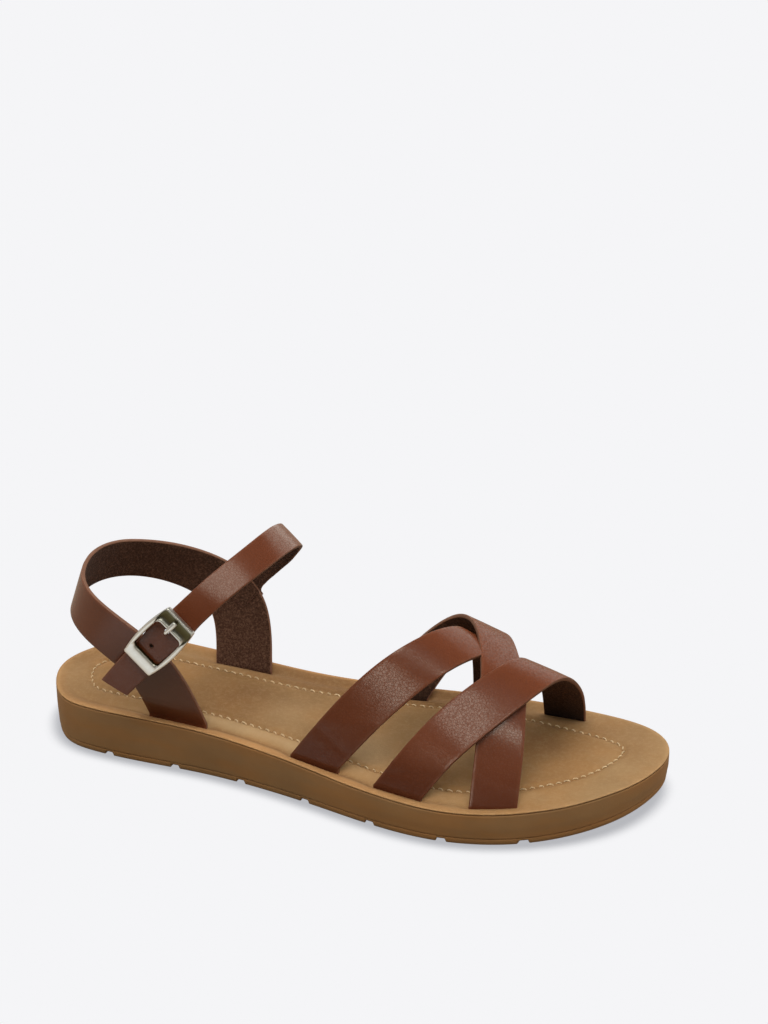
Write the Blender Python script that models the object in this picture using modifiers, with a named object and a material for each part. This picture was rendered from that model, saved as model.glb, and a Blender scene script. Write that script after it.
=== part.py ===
"""Strappy sandal for the right foot.

A moulded unit sole, a padded footbed sunk into it, three crossed forefoot straps, a heel strap and an
ankle strap that closes with a small metal buckle on the outer side.

Frame: metres, +X toward the toe, +Y toward the inner side of the foot, +Z up. The origin is on the floor,
at the middle of the sole's length and width.
"""

import math
from typing import NamedTuple

import bmesh
import bpy
import numpy as np
from mathutils import Vector
from mathutils.bvhtree import BVHTree

# Driving dimensions of the last and the sole
SOLE_LENGTH = 0.2606
BALL_WIDTH = 0.0955
INSTEP_HEIGHT = 0.068
HEEL_HEIGHT = 0.0215
TOE_SPRING = 0.0057
SPRING_START = 0.78

# Clearance between neighbouring pieces
GAP = 0.0003

# Strap leather
STRAP_WIDTH = 0.019
STRAP_THICKNESS = 0.0017
ANKLE_STRAP_WIDTH = 0.0125
STRAP_COLUMNS = 3

# Footbed and the recess that holds it
RECESS_DEPTH = 0.0035
FOOT_DEPTH = RECESS_DEPTH - 2 * GAP

# Cross grooves of the tread
GROOVE_COUNT = 7
GROOVE_PITCH = 0.030
GROOVE_WIDTH = 0.0044
GROOVE_DEPTH = 0.0016
GROOVE_MIDDLE = -0.0012
GROOVE_SKEW = math.radians(3.0)
GROOVE_FLARE = 0.3
GROOVE_REACH = 1.2 * BALL_WIDTH

# Buckle: its middle on the ankle strap's outer face, and its sizes along and across that strap
BUCKLE_MIDDLE = Vector((-0.0609, -0.0432, 0.06495))
BUCKLE_SLOPE = math.radians(47.5)
FRAME_LOW = -0.0163
FRAME_HIGH = 0.0138
FRAME_HALF_WIDTH = 0.0073
FRAME_BOW = 0.0014
FRAME_CORNER = 0.0010
FRAME_THICKNESS = 0.0018
FRAME_CROWN = 0.0003
FRAME_TROUGH = 0.0008
WINDOW_LOW = -0.0094
WINDOW_HIGH = 0.0074
WINDOW_HALF_WIDTH = 0.00645
WINDOW_CORNER = 0.0020
BAR_RADIUS = 0.0008
BAR_PLACE = -0.0030
BAR_REACH = 0.0079
PRONG_RADIUS = 0.00075
PRONG_SIDE = -0.00075
PRONG_RISE = 0.0032
PRONG_TIP = 0.0124
PRONG_EYE_START = -60
PRONG_EYE_TURN = -210
HOLE_PLACE = -0.0058
HOLE_RADIUS = 0.0009
ELASTIC_WIDTH = 0.0105
ELASTIC_THICKNESS = 0.0008
ELASTIC_SEWN = 0.0120
ELASTIC_HOOK_START = 100
ELASTIC_HOOK_TURN = -230

# Fineness of the outline's sides and of the straps
SIDE_STEPS = 44
STRAP_ROWS = 30
HEEL_STRAP_ROWS = 44
ANKLE_ROWS = 48
SLOT_ROWS = 4
OUTLINE_WRAP = 5


class Station(NamedTuple):
    """Half widths of the sole at one place along its length."""

    along: float    # share of the length, from the heel
    outer: float    # share of half the ball width
    inner: float    # share of half the ball width


class Level(NamedTuple):
    """One ring of a wall: how far inside the outline it lies, and its height over the floor or the top edge."""

    inset: float
    base: str
    offset: float


class Section(NamedTuple):
    """One cross section of a strap: where its middle lies and which way its width points."""

    along: float    # share of the sole's length, from the heel
    across: float   # share of half the ball width, outer side negative
    up: float       # share of the instep height, from the floor
    turn: float     # degrees in plan, from the toe direction
    rise: float     # degrees above level
    width: float    # share of the strap's own width


HEEL_TIP = 0.016
TOE_TIP = 0.341
OUTLINE = (
    Station(0.040, -0.496, 0.479),
    Station(0.105, -0.675, 0.684),
    Station(0.200, -0.704, 0.661),
    Station(0.300, -0.700, 0.644),
    Station(0.400, -0.747, 0.648),
    Station(0.500, -0.841, 0.730),
    Station(0.600, -0.954, 0.867),
    Station(0.700, -0.999, 0.978),
    Station(0.790, -0.903, 0.998),
    Station(0.870, -0.698, 0.947),
    Station(0.935, -0.419, 0.843),
    Station(0.980, -0.076, 0.658),
)

# Height of the sole's top edge from heel to toe, at even steps, as shares of the heel height
TOP_EDGE = (0.912, 1.000, 0.935, 0.794, 0.672, 0.674, 0.815)

OUTSOLE_WALL = (
    Level(0.0022, "floor", 0.0),
    Level(0.0010, "floor", 0.0010),
    Level(0.0009, "floor", 0.0026),
    Level(0.0014, "floor", 0.0029),
    Level(0.0004, "floor", 0.0034),
    Level(0.0000, "top", -0.0055),
    Level(0.0000, "top", -0.0009),
    Level(0.0005, "top", -0.00015),
    Level(0.0024, "top", -0.00015),
    Level(0.0026, "top", -RECESS_DEPTH),
)

INSOLE_WALL = (
    Level(0.0031, "top", GAP - RECESS_DEPTH),
    Level(0.0028, "top", 0.00015),
    Level(0.0006, "top", 0.00015),
    Level(0.0001, "top", 0.0005),
    Level(0.0004, "top", 0.0008),
    Level(0.0010, "top", 0.0009),
    Level(0.0036, "top", 0.0006),
    Level(0.0060, "top", -0.0001),
    Level(0.0120, "top", 0.0010),
    Level(0.0150, "top", 0.0004),
    Level(0.0180, "top", 0.0011),
    Level(0.0240, "top", 0.0013),
)

REAR_STRAP = (
    Section(0.497, -0.718, 0.247, -7, -3, 1.14),
    Section(0.555, -0.629, 0.546, -7, -14, 1.09),
    Section(0.615, -0.465, 0.796, -5, -23, 1.06),
    Section(0.671, -0.163, 0.928, -4, -25, 1.01),
    Section(0.698, 0.344, 0.833, 5, -26, 1.05),
    Section(0.699, 0.732, 0.577, 7, -19, 1.02),
    Section(0.697, 0.827, 0.202, 8, -3, 0.93),
)

FRONT_STRAP = (
    Section(0.639, -0.847, 0.211, -7, -3, 1.09),
    Section(0.687, -0.717, 0.478, -8, -10, 1.06),
    Section(0.736, -0.451, 0.664, -6, -17, 1.09),
    Section(0.783, -0.116, 0.785, -2, -16, 1.06),
    Section(0.804, 0.300, 0.732, 1, -17, 1.04),
    Section(0.815, 0.645, 0.505, -2, -12, 1.01),
    Section(0.814, 0.855, 0.204, -4, 0, 0.94),
)

CROSS_STRAP = (
    Section(0.785, -0.784, 0.201, 17, 0, 0.98),
    Section(0.778, -0.485, 0.538, 12, -12, 0.99),
    Section(0.769, -0.275, 0.699, 10, -17, 1.00),
    Section(0.757, -0.052, 0.786, 8, -22, 1.01),
    Section(0.717, 0.458, 0.820, 11, -30, 1.02),
    Section(0.662, 0.831, 0.745, 13, -19, 1.09),
    Section(0.593, 0.888, 0.494, 13, -11, 1.13),
    Section(0.544, 0.612, 0.233, 16, -4, 1.38),
)

HEEL_STRAP = (
    Section(0.258, -0.586, 0.301, 0, -2, 1.35),
    Section(0.228, -0.757, 0.675, -6, 27, 1.25),
    Section(0.160, -0.804, 0.901, -12, 53, 1.11),
    Section(0.092, -0.579, 1.014, -10, 67, 0.98),
    Section(0.074, -0.072, 1.049, 15, 75, 0.94),
    Section(0.116, 0.379, 0.996, 10, 65, 0.98),
    Section(0.194, 0.669, 0.863, 16, 40, 1.16),
    Section(0.257, 0.739, 0.633, 14, 16, 1.27),
    Section(0.285, 0.506, 0.296, 4, -2, 1.32),
)

ANKLE_STRAP = (
    Section(0.244, 0.856, 0.603, 178, 40, 1.00),
    Section(0.294, 0.847, 0.850, 178, 42, 1.00),
    Section(0.341, 0.731, 1.090, 177, 41, 1.00),
    Section(0.379, 0.448, 1.280, 173, 39, 0.99),
    Section(0.393, 0.046, 1.392, 167, 36, 1.02),
    Section(0.379, -0.386, 1.376, 165, 34, 1.00),
    Section(0.340, -0.724, 1.250, 173, 28, 0.99),
    Section(0.289, -0.894, 1.042, 177, 23, 1.02),
    Section(0.234, -0.899, 0.813, 178, 24, 1.08),
    Section(0.181, -0.897, 0.575, 179, 24, 1.00),
)
ANKLE_SEWN_ROWS = 0.10
ANKLE_FREE_ROWS = 0.22


def clear_scene():
    """Remove whatever the scene holds."""
    for item in list(bpy.data.objects):
        bpy.data.objects.remove(item, do_unlink=True)


def make_collection(name):
    """A new collection under the scene."""
    group = bpy.data.collections.new(name)
    bpy.context.scene.collection.children.link(group)
    return group


def make_material(name, color, roughness, metallic=0.0):
    """A plain Principled material."""
    material = bpy.data.materials.new(name)
    material.use_nodes = True
    shader = material.node_tree.nodes["Principled BSDF"]
    shader.inputs["Base Color"].default_value = (*color, 1.0)
    shader.inputs["Roughness"].default_value = roughness
    shader.inputs["Metallic"].default_value = metallic
    return material


def add_mesh(name, group, points, faces, material=None):
    """An object in a collection, made from points and faces, with its normals turned out."""
    mesh = bpy.data.meshes.new(name)
    mesh.from_pydata([tuple(point) for point in points], [], faces)
    work = bmesh.new()
    work.from_mesh(mesh)
    bmesh.ops.recalc_face_normals(work, faces=work.faces)
    work.to_mesh(mesh)
    work.free()
    item = bpy.data.objects.new(name, mesh)
    group.objects.link(item)
    if material:
        mesh.materials.append(material)
    return item


def mark_cutter(item):
    """Show an object as a wire guide only."""
    item.hide_render = True
    item.display_type = "WIRE"
    return item


def add_boolean(item, operation, other):
    """Cut or join another object on this one."""
    modifier = item.modifiers.new(operation.title(), "BOOLEAN")
    modifier.operation = operation
    modifier.solver = "EXACT"
    modifier.object = other


def natural_spline(rows, places):
    """Points on the natural cubic through evenly spaced rows, at places counted in rows."""
    rows = np.asarray(rows, float)
    count = len(rows)
    system = np.eye(count)
    right = np.zeros_like(rows)
    for i in range(1, count - 1):
        system[i, i - 1:i + 2] = (1.0, 4.0, 1.0)
        right[i] = 6.0 * (rows[i - 1] - 2.0 * rows[i] + rows[i + 1])
    bend = np.linalg.solve(system, right)
    places = np.asarray(places, float)
    first = np.clip(places.astype(int), 0, count - 2)
    after = (places - first)[:, None]
    before = 1.0 - after
    straight = before * rows[first] + after * rows[first + 1]
    curve = (before**3 - before) * bend[first] + (after**3 - after) * bend[first + 1]
    return straight + curve / 6.0


def top_edge(x):
    """Height of the sole's top edge at a place along the foot."""
    share = np.clip(np.atleast_1d(x) / SOLE_LENGTH + 0.5, 0.0, 1.0)
    heights = np.array(TOP_EDGE)[:, None] * HEEL_HEIGHT
    return natural_spline(heights, share * (len(TOP_EDGE) - 1))[:, 0]


def floor_edge(x):
    """Height of the sole's underside, flat up to the ball and sprung at the toe."""
    share = np.atleast_1d(x) / SOLE_LENGTH + 0.5
    return TOE_SPRING * np.clip((share - SPRING_START) / (1.0 - SPRING_START), 0.0, 1.0) ** 2


def sole_outline():
    """Plan of the sole and its inward normals: heel tip, outer side, toe tip, inner side."""
    outer = [(row.along, row.outer) for row in OUTLINE]
    inner = [(row.along, row.inner) for row in reversed(OUTLINE)]
    shares = np.array([(0.0, HEEL_TIP), *outer, (1.0, TOE_TIP), *inner])
    plan = (shares - (0.5, 0.0)) * (SOLE_LENGTH, BALL_WIDTH / 2)
    looped = np.vstack([plan[-OUTLINE_WRAP:], plan, plan[:OUTLINE_WRAP + 1]])
    side = len(OUTLINE) + 1
    outer_places = np.linspace(0, side, SIDE_STEPS, endpoint=False)
    places = np.concatenate([outer_places, outer_places + side]) + OUTLINE_WRAP
    points = natural_spline(looped, places)
    ahead = np.roll(points, -1, axis=0) - np.roll(points, 1, axis=0)
    normals = np.column_stack([-ahead[:, 1], ahead[:, 0]])
    return points, normals / np.linalg.norm(normals, axis=1)[:, None]


def wall_ring(level):
    """One ring of a sole wall as points in space."""
    points, normals = sole_outline()
    plan = points + normals * level.inset
    base = floor_edge if level.base == "floor" else top_edge
    return np.column_stack([plan, base(plan[:, 0]) + level.offset])


def loft_sole(name, group, levels, material):
    """A closed solid through rings of the outline, with cross strips over its first and last ring."""
    rings = [wall_ring(level) for level in levels]
    count = len(rings[0])
    faces = []
    for low in range(len(rings) - 1):
        for i in range(count):
            j = (i + 1) % count
            faces.append((low * count + i, low * count + j, (low + 1) * count + j, (low + 1) * count + i))
    for start in (0, (len(rings) - 1) * count):
        faces.append((start, start + 1, start + count - 1))
        for i in range(1, count // 2 - 1):
            faces.append((start + i, start + i + 1, start + count - i - 1, start + count - i))
        faces.append((start + count // 2 - 1, start + count // 2, start + count // 2 + 1))
    return add_mesh(name, group, np.vstack(rings), faces, material)


def cut_grooves(sole, group):
    """Cut the cross grooves of the tread through the underside."""
    cutter_mesh = bpy.data.meshes.new("tread_grooves")
    work = bmesh.new()
    for i in range(GROOVE_COUNT):
        box = bmesh.ops.create_cube(work, size=1.0)["verts"]
        middle = GROOVE_MIDDLE + (i - (GROOVE_COUNT - 1) / 2) * GROOVE_PITCH
        lift = float(floor_edge(middle)[0])
        for vert in box:
            side = 1.0 if vert.co.z > 0 else -1.0
            x = vert.co.x * GROOVE_WIDTH * (1.0 - GROOVE_FLARE * side)
            y = vert.co.y * GROOVE_REACH
            z = lift + GROOVE_DEPTH * side
            vert.co = (middle + x + y * math.tan(GROOVE_SKEW), y, z)
    bmesh.ops.recalc_face_normals(work, faces=work.faces)
    work.to_mesh(cutter_mesh)
    work.free()
    cutter = bpy.data.objects.new("tread_grooves", cutter_mesh)
    group.objects.link(cutter)
    add_boolean(sole, "DIFFERENCE", mark_cutter(cutter))


def strap_edges(sections, width, samples):
    """Rear and front edge of a strap's middle surface, from end to end; the rows give its outer face."""
    middle = np.array([
        ((row.along - 0.5) * SOLE_LENGTH, row.across * BALL_WIDTH / 2, row.up * INSTEP_HEIGHT)
        for row in sections
    ])
    turn = np.radians([row.turn for row in sections])
    rise = np.radians([row.rise for row in sections])
    reach = np.array([row.width for row in sections]) * width / 2
    heading = np.column_stack([np.cos(rise) * np.cos(turn), np.cos(rise) * np.sin(turn), np.sin(rise)])
    places = np.linspace(0, len(sections) - 1, samples)
    rear = natural_spline(middle - heading * reach[:, None], places)
    front = natural_spline(middle + heading * reach[:, None], places)
    outward = np.cross(front - rear, np.gradient(rear + front, axis=0))
    inset = outward / np.linalg.norm(outward, axis=1)[:, None] * STRAP_THICKNESS / 2
    return rear - inset, front - inset


def sheet_grid(rear, front, columns, widen=0.0):
    """Rows of points across a strap between its two edges."""
    shares = np.linspace(0.0, 1.0, columns + 1)[None, :, None]
    across = front - rear
    across = across / np.linalg.norm(across, axis=1)[:, None] * widen
    return (rear - across)[:, None, :] * (1 - shares) + (front + across)[:, None, :] * shares


def with_feet(grid):
    """Lengthen a strap straight down into the footbed at both ends."""
    ends = []
    for row in (grid[0], grid[-1]):
        foot = row.copy()
        foot[:, 2] = top_edge(foot[:, 0]) - FOOT_DEPTH
        ends.append(foot[None])
    return np.concatenate([ends[0], grid, ends[1]])


def sheet_faces(grid, skip=()):
    """The cells of a grid of points, without those listed in skip."""
    rows, columns = grid.shape[0], grid.shape[1]
    faces = []
    for i in range(rows - 1):
        for j in range(columns - 1):
            if (i, j) not in skip:
                a = i * columns + j
                faces.append((a, a + 1, a + columns + 1, a + columns))
    return faces


def add_sheet(name, group, grid, thickness, material=None, skip=()):
    """A strap of even thickness on a grid of points, without the cells listed in skip."""
    item = add_mesh(name, group, grid.reshape(-1, 3), sheet_faces(grid, skip), material)
    solidify = item.modifiers.new("Thickness", "SOLIDIFY")
    solidify.thickness = thickness
    solidify.offset = 0.0
    return item


def cut_slots(insole, group, straps):
    """Cut the slots that the strap feet pass through."""
    for name, (rear, front) in straps.items():
        for end, first in (("outer", 0), ("inner", -1)):
            rows = [first + (i if first == 0 else -i) for i in range(SLOT_ROWS)]
            grid = sheet_grid(rear[rows], front[rows], 1, GAP)
            foot = grid[:1].copy()
            foot[..., 2] -= 2 * RECESS_DEPTH
            cutter = add_sheet(f"{name}_{end}_slot", group, np.concatenate([foot, grid]),
                               STRAP_THICKNESS + 2 * GAP)
            add_boolean(insole, "DIFFERENCE", mark_cutter(cutter))


def sheet_tree(grid):
    """A search tree over the middle surface of a strap."""
    return BVHTree.FromPolygons([tuple(point) for point in grid.reshape(-1, 3)], sheet_faces(grid))


def seat_on(tree, point, lift):
    """The place next to a point that lies a given lift outside a strap's middle surface."""
    near, normal, _, _ = tree.find_nearest(Vector(point))
    outward = Vector((0.0, near.y, 0.0))
    if normal.dot(outward) < 0.0:
        normal = -normal
    return np.array(near + normal * lift)


def buckle_point(along, across, out):
    """A place on the buckle: along the ankle strap, across it and out from its middle surface."""
    ahead = Vector((math.cos(BUCKLE_SLOPE), 0.0, math.sin(BUCKLE_SLOPE)))
    side = Vector((math.sin(BUCKLE_SLOPE), 0.0, -math.cos(BUCKLE_SLOPE)))
    return BUCKLE_MIDDLE + ahead * along + side * across + Vector((0.0, -1.0, 0.0)) * out


def frame_loop(half_width, bow, low, high, corner):
    """A rounded rectangle with bowed sides, as places along and across."""
    loop = []
    sides = 5
    corners = (
        (half_width - corner, low + corner, -90),
        (half_width - corner, high - corner, 0),
        (corner - half_width, high - corner, 90),
        (corner - half_width, low + corner, 180),
    )
    for k, (across, along, start) in enumerate(corners):
        for step in range(4):
            angle = math.radians(start + 30 * step)
            loop.append((across + corner * math.cos(angle), along + corner * math.sin(angle)))
        for step in range(1, sides):
            share = step / sides
            run = low + corner + (high - low - 2 * corner) * share
            span = (half_width - corner) * (1 - 2 * share)
            swell = half_width + bow * (1 - (2 * share - 1) ** 2)
            loop.append(((swell, run), (span, high), (-swell, low + high - run), (-span, low))[k])
    return loop


def strap_face(grid):
    """Outer face of the ankle strap near the buckle: for each column of its grid, places along and out."""
    rows = [row for row in grid if row[:, 1].max() < 0.0]
    offset = np.array(rows)[::-1] - np.array(BUCKLE_MIDDLE)
    along = offset[..., 0] * math.cos(BUCKLE_SLOPE) + offset[..., 2] * math.sin(BUCKLE_SLOPE)
    out = STRAP_THICKNESS / 2 - offset[..., 1]
    return list(zip(along.T, out.T))


def frame_floor(face, along):
    """How far out the frame's back lies at a place along the strap."""
    return max(float(np.interp(along, *column)) for column in face) + GAP


def frame_swell(along, share):
    """Rise of the frame's front between outer edge and window: crowned, but hollow at the prong's rest."""
    hump = math.sin(math.pi * share)
    if along > WINDOW_HIGH:
        return -FRAME_TROUGH * hump
    return FRAME_CROWN * hump


def build_frame(group, guides, face, material):
    """The buckle's frame, a bowed plate with a window, and the bar behind it."""
    outer = np.array(frame_loop(FRAME_HALF_WIDTH, FRAME_BOW, FRAME_LOW, FRAME_HIGH, FRAME_CORNER))
    window = np.array(frame_loop(WINDOW_HALF_WIDTH, 0.0, WINDOW_LOW, WINDOW_HIGH, WINDOW_CORNER))
    fronts = (0.0, 0.2, 0.5, 0.8, 1.0)
    rings = [(outer, 0.0, 0.0)]
    rings += [(outer + (window - outer) * share, FRAME_THICKNESS, share) for share in fronts]
    rings.append((window, 0.0, 0.0))
    count = len(outer)
    points = []
    for loop, rise, share in rings:
        for across, along in loop:
            out = frame_floor(face, along) + rise + frame_swell(along, share)
            points.append(buckle_point(along, across, out))
    faces = []
    for ring in range(len(rings)):
        following = (ring + 1) % len(rings)
        for i in range(count):
            j = (i + 1) % count
            faces.append((ring * count + i, ring * count + j, following * count + j, following * count + i))
    frame = add_mesh("buckle_frame", group, points, faces, material)
    depth = bar_depth()
    inside = frame_floor(face, BAR_PLACE) + FRAME_THICKNESS / 2
    route = (
        (BAR_REACH, inside),
        (BAR_REACH, depth + BAR_RADIUS),
        (BAR_REACH - BAR_RADIUS, depth),
        (BAR_RADIUS - BAR_REACH, depth),
        (-BAR_REACH, depth + BAR_RADIUS),
        (-BAR_REACH, inside),
    )
    bar = add_wire("buckle_bar", guides, [buckle_point(BAR_PLACE, *place) for place in route], BAR_RADIUS)
    add_boolean(frame, "UNION", mark_cutter(bar))
    return frame


def bar_depth():
    """How far out the bar's axis lies: behind the strap, with room for the prong's eye."""
    return -(STRAP_THICKNESS + 2 * GAP + 2 * PRONG_RADIUS + BAR_RADIUS)


def add_wire(name, group, points, radius, material=None):
    """A round wire along points, as a mesh with closed ends."""
    curve = bpy.data.curves.new(name, "CURVE")
    curve.dimensions = "3D"
    curve.bevel_depth = radius
    curve.bevel_resolution = 2
    curve.use_fill_caps = True
    spline = curve.splines.new("POLY")
    spline.points.add(len(points) - 1)
    for vertex, point in zip(spline.points, points):
        vertex.co = (*point, 1.0)
    source = bpy.data.objects.new(name + "_route", curve)
    group.objects.link(source)
    bpy.context.view_layer.update()
    graph = bpy.context.evaluated_depsgraph_get()
    mesh = bpy.data.meshes.new_from_object(source.evaluated_get(graph))
    bpy.data.objects.remove(source, do_unlink=True)
    work = bmesh.new()
    work.from_mesh(mesh)
    bmesh.ops.remove_doubles(work, verts=work.verts, dist=1e-6)
    bmesh.ops.recalc_face_normals(work, faces=work.faces)
    work.to_mesh(mesh)
    work.free()
    mesh.materials.clear()
    if material:
        mesh.materials.append(material)
    item = bpy.data.objects.new(name, mesh)
    group.objects.link(item)
    return item


def prong_climb(face):
    """Two ends of the prong's climb through the strap: under it, and over the edge of the window."""
    under = -(STRAP_THICKNESS + GAP + PRONG_RADIUS)
    over = frame_floor(face, WINDOW_HIGH) + FRAME_THICKNESS + GAP + PRONG_RADIUS
    return (PRONG_RISE, under), (WINDOW_HIGH - PRONG_RADIUS, over)


def build_prong(group, face, material):
    """The buckle's pin: an eye round the bar, a shank under the strap and a tip over the frame's end."""
    eye = BAR_RADIUS + GAP + PRONG_RADIUS
    depth = bar_depth()
    places = []
    for step in range(9):
        angle = math.radians(PRONG_EYE_START + PRONG_EYE_TURN * step / 8)
        places.append((BAR_PLACE + eye * math.cos(angle), depth + eye * math.sin(angle)))
    places += prong_climb(face)
    lift = FRAME_THICKNESS + GAP + PRONG_RADIUS
    for along in np.linspace(WINDOW_HIGH + 0.001, PRONG_TIP, 3):
        places.append((along, frame_floor(face, along) + lift))
    points = [buckle_point(along, PRONG_SIDE, out) for along, out in places]
    return add_wire("buckle_prong", group, points, PRONG_RADIUS, material)


def build_elastic(group, tree, material):
    """The elastic: sewn flat on the heel strap and hooked round the buckle's bar."""
    lift = (STRAP_THICKNESS + ELASTIC_THICKNESS) / 2 + GAP
    hook = BAR_RADIUS + GAP + ELASTIC_THICKNESS / 2
    depth = bar_depth()
    eye = (PRONG_RADIUS + 2 * GAP) / ELASTIC_WIDTH
    slot = PRONG_SIDE / ELASTIC_WIDTH
    shares = (-0.5, slot - eye, slot + eye, 0.5)
    grid = []
    for along in np.linspace(WINDOW_LOW - ELASTIC_SEWN, WINDOW_LOW, 6):
        row = [buckle_point(along, share * ELASTIC_WIDTH, depth) for share in shares]
        grid.append([seat_on(tree, point, lift) for point in row])
    flat_rows = len(grid)
    for step in range(9):
        angle = math.radians(ELASTIC_HOOK_START + ELASTIC_HOOK_TURN * step / 8)
        along = BAR_PLACE + hook * math.cos(angle)
        out = depth + hook * math.sin(angle)
        grid.append([buckle_point(along, share * ELASTIC_WIDTH, out) for share in shares])
    notch = {(i, 1) for i in range(flat_rows - 1, len(grid) - 1)}
    return add_sheet("buckle_elastic", group, np.array(grid), ELASTIC_THICKNESS, material, notch)


def ankle_grid(tree):
    """Middle surface of the ankle strap, with its first rows laid on the heel strap."""
    rear, front = strap_edges(ANKLE_STRAP, ANKLE_STRAP_WIDTH, ANKLE_ROWS)
    grid = sheet_grid(rear, front, 2)
    for i, row in enumerate(grid):
        share = i / (len(grid) - 1)
        free = np.clip((share - ANKLE_SEWN_ROWS) / (ANKLE_FREE_ROWS - ANKLE_SEWN_ROWS), 0.0, 1.0)
        free = free * free * (3 - 2 * free)
        if free < 1.0:
            for j, point in enumerate(row):
                grid[i, j] = free * point + (1 - free) * seat_on(tree, point, STRAP_THICKNESS + GAP)
    return grid


def build_ankle_strap(group, guides, grid, face, material):
    """The ankle strap, with a slanted hole for the prong and the next hole of its row."""
    strap = add_sheet("ankle_strap", group, grid, STRAP_THICKNESS, material)
    deep = -2 * STRAP_THICKNESS
    climb = [buckle_point(along, PRONG_SIDE, out) for along, out in prong_climb(face)]
    plain = [buckle_point(HOLE_PLACE, PRONG_SIDE, out) for out in (deep, STRAP_THICKNESS)]
    for name, ends, radius in (("prong_hole", climb, PRONG_RADIUS + GAP), ("next_hole", plain, HOLE_RADIUS)):
        punch = add_wire(name, guides, ends, radius)
        add_boolean(strap, "DIFFERENCE", mark_cutter(punch))
    return strap


def main():
    """Build the sandal."""
    clear_scene()
    parts = make_collection("strappy_sandal")
    guides = make_collection("cutters")
    leather = make_material("strap_leather", (0.165, 0.062, 0.036), 0.45)
    footbed = make_material("footbed", (0.480, 0.330, 0.185), 0.75)
    rubber = make_material("sole_rubber", (0.235, 0.140, 0.070), 0.60)
    metal = make_material("buckle_metal", (0.780, 0.780, 0.760), 0.15, 1.0)
    webbing = make_material("elastic", (0.170, 0.065, 0.035), 0.85)

    outsole = loft_sole("outsole", parts, OUTSOLE_WALL, rubber)
    cut_grooves(outsole, guides)
    insole = loft_sole("insole", parts, INSOLE_WALL, footbed)

    straps = {
        "rear_strap": strap_edges(REAR_STRAP, STRAP_WIDTH, STRAP_ROWS),
        "front_strap": strap_edges(FRONT_STRAP, STRAP_WIDTH, STRAP_ROWS),
        "cross_strap": strap_edges(CROSS_STRAP, STRAP_WIDTH, STRAP_ROWS),
        "heel_strap": strap_edges(HEEL_STRAP, STRAP_WIDTH, HEEL_STRAP_ROWS),
    }
    cut_slots(insole, guides, straps)
    grids = {name: with_feet(sheet_grid(*edges, STRAP_COLUMNS)) for name, edges in straps.items()}
    forefoot = add_sheet("forefoot_straps", parts, grids["cross_strap"], STRAP_THICKNESS, leather)
    for name in ("rear_strap", "front_strap"):
        add_boolean(forefoot, "UNION", mark_cutter(add_sheet(name, guides, grids[name], STRAP_THICKNESS)))
    add_sheet("heel_strap", parts, grids["heel_strap"], STRAP_THICKNESS, leather)

    heel_surface = sheet_tree(grids["heel_strap"])
    ankle = ankle_grid(heel_surface)
    face = strap_face(ankle)
    build_ankle_strap(parts, guides, ankle, face, leather)
    build_elastic(parts, heel_surface, webbing)
    build_frame(parts, guides, face, metal)
    build_prong(parts, face, metal)


main()
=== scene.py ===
"""Visual model of a strappy sandal for the right foot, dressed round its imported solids.

Metres, +X toward the toe, +Y toward the inner side of the foot, +Z up, the floor at zero.
"""

import logging
import math
from dataclasses import dataclass, field
from enum import Enum, IntEnum
from typing import Callable, NamedTuple, Sequence

import bmesh
import bpy
import numpy as np
from mathutils import Matrix, Vector
from mathutils.bvhtree import BVHTree
from mathutils.kdtree import KDTree


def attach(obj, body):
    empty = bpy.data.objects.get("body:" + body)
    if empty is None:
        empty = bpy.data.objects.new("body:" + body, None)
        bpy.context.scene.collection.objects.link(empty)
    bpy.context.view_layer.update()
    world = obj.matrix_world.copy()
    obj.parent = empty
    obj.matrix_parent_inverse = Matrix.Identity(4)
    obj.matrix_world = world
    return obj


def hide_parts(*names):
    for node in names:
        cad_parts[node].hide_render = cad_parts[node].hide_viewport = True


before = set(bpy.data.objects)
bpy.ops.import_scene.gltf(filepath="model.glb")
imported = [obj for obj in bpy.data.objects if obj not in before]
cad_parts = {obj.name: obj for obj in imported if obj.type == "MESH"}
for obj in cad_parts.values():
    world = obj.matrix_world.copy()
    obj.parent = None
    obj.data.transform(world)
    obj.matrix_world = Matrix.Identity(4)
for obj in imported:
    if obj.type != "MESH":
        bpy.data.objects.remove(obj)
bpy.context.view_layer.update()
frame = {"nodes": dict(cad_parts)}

LOG = logging.getLogger("strappy_sandal")

Array = np.ndarray
Socket = bpy.types.NodeSocket
Tree = bpy.types.NodeTree
Outputs = bpy.types.NodeOutputs
Material = bpy.types.Material
Object = bpy.types.Object
Color = tuple[float, float, float]
Point = tuple[float, float, float]
Knots = tuple[tuple[float, float], ...]
Faces = list[tuple[int, ...]]
Line = tuple[Array, Array]

BODY = "root"
GAP = 0.0003  # clearance between pieces that lie on each other


class Slot(Enum):
    """Material slots of the part's record."""

    RUBBER = "sole_rubber"
    FOOTBED = "footbed"
    LEATHER = "strap_leather"
    ELASTIC = "elastic"
    METAL = "buckle_metal"


class Side(IntEnum):
    """Faces of a cut strap, in the order of its material slots."""

    GRAIN = 0
    RIM = 1
    LINING = 2


class Lights(Enum):
    """What a lamp of the studio works on."""

    COLOR = "diffuse"
    SHEEN = "glossy"


class Cut(NamedTuple):
    """One point of a strap's cross section: share of the half width, offset, height, face from there on."""

    share: float
    offset: float
    height: float
    face: Side


class Layer(NamedTuple):
    """A colour laid over a surface where a number on its points says so."""

    value: str
    color: Color


class Touch(NamedTuple):
    """A colour that an effect brings, and how much of it."""

    color: Color
    amount: float


class Cloud(NamedTuple):
    """Soft patches of a second colour: their fineness, how flat they lie and how much they show."""

    color: Color
    scale: float
    stretch: float
    amount: float


class Drift(NamedTuple):
    """Slow changes of tone: their fineness and how far they go."""

    scale: float
    amount: float


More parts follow.
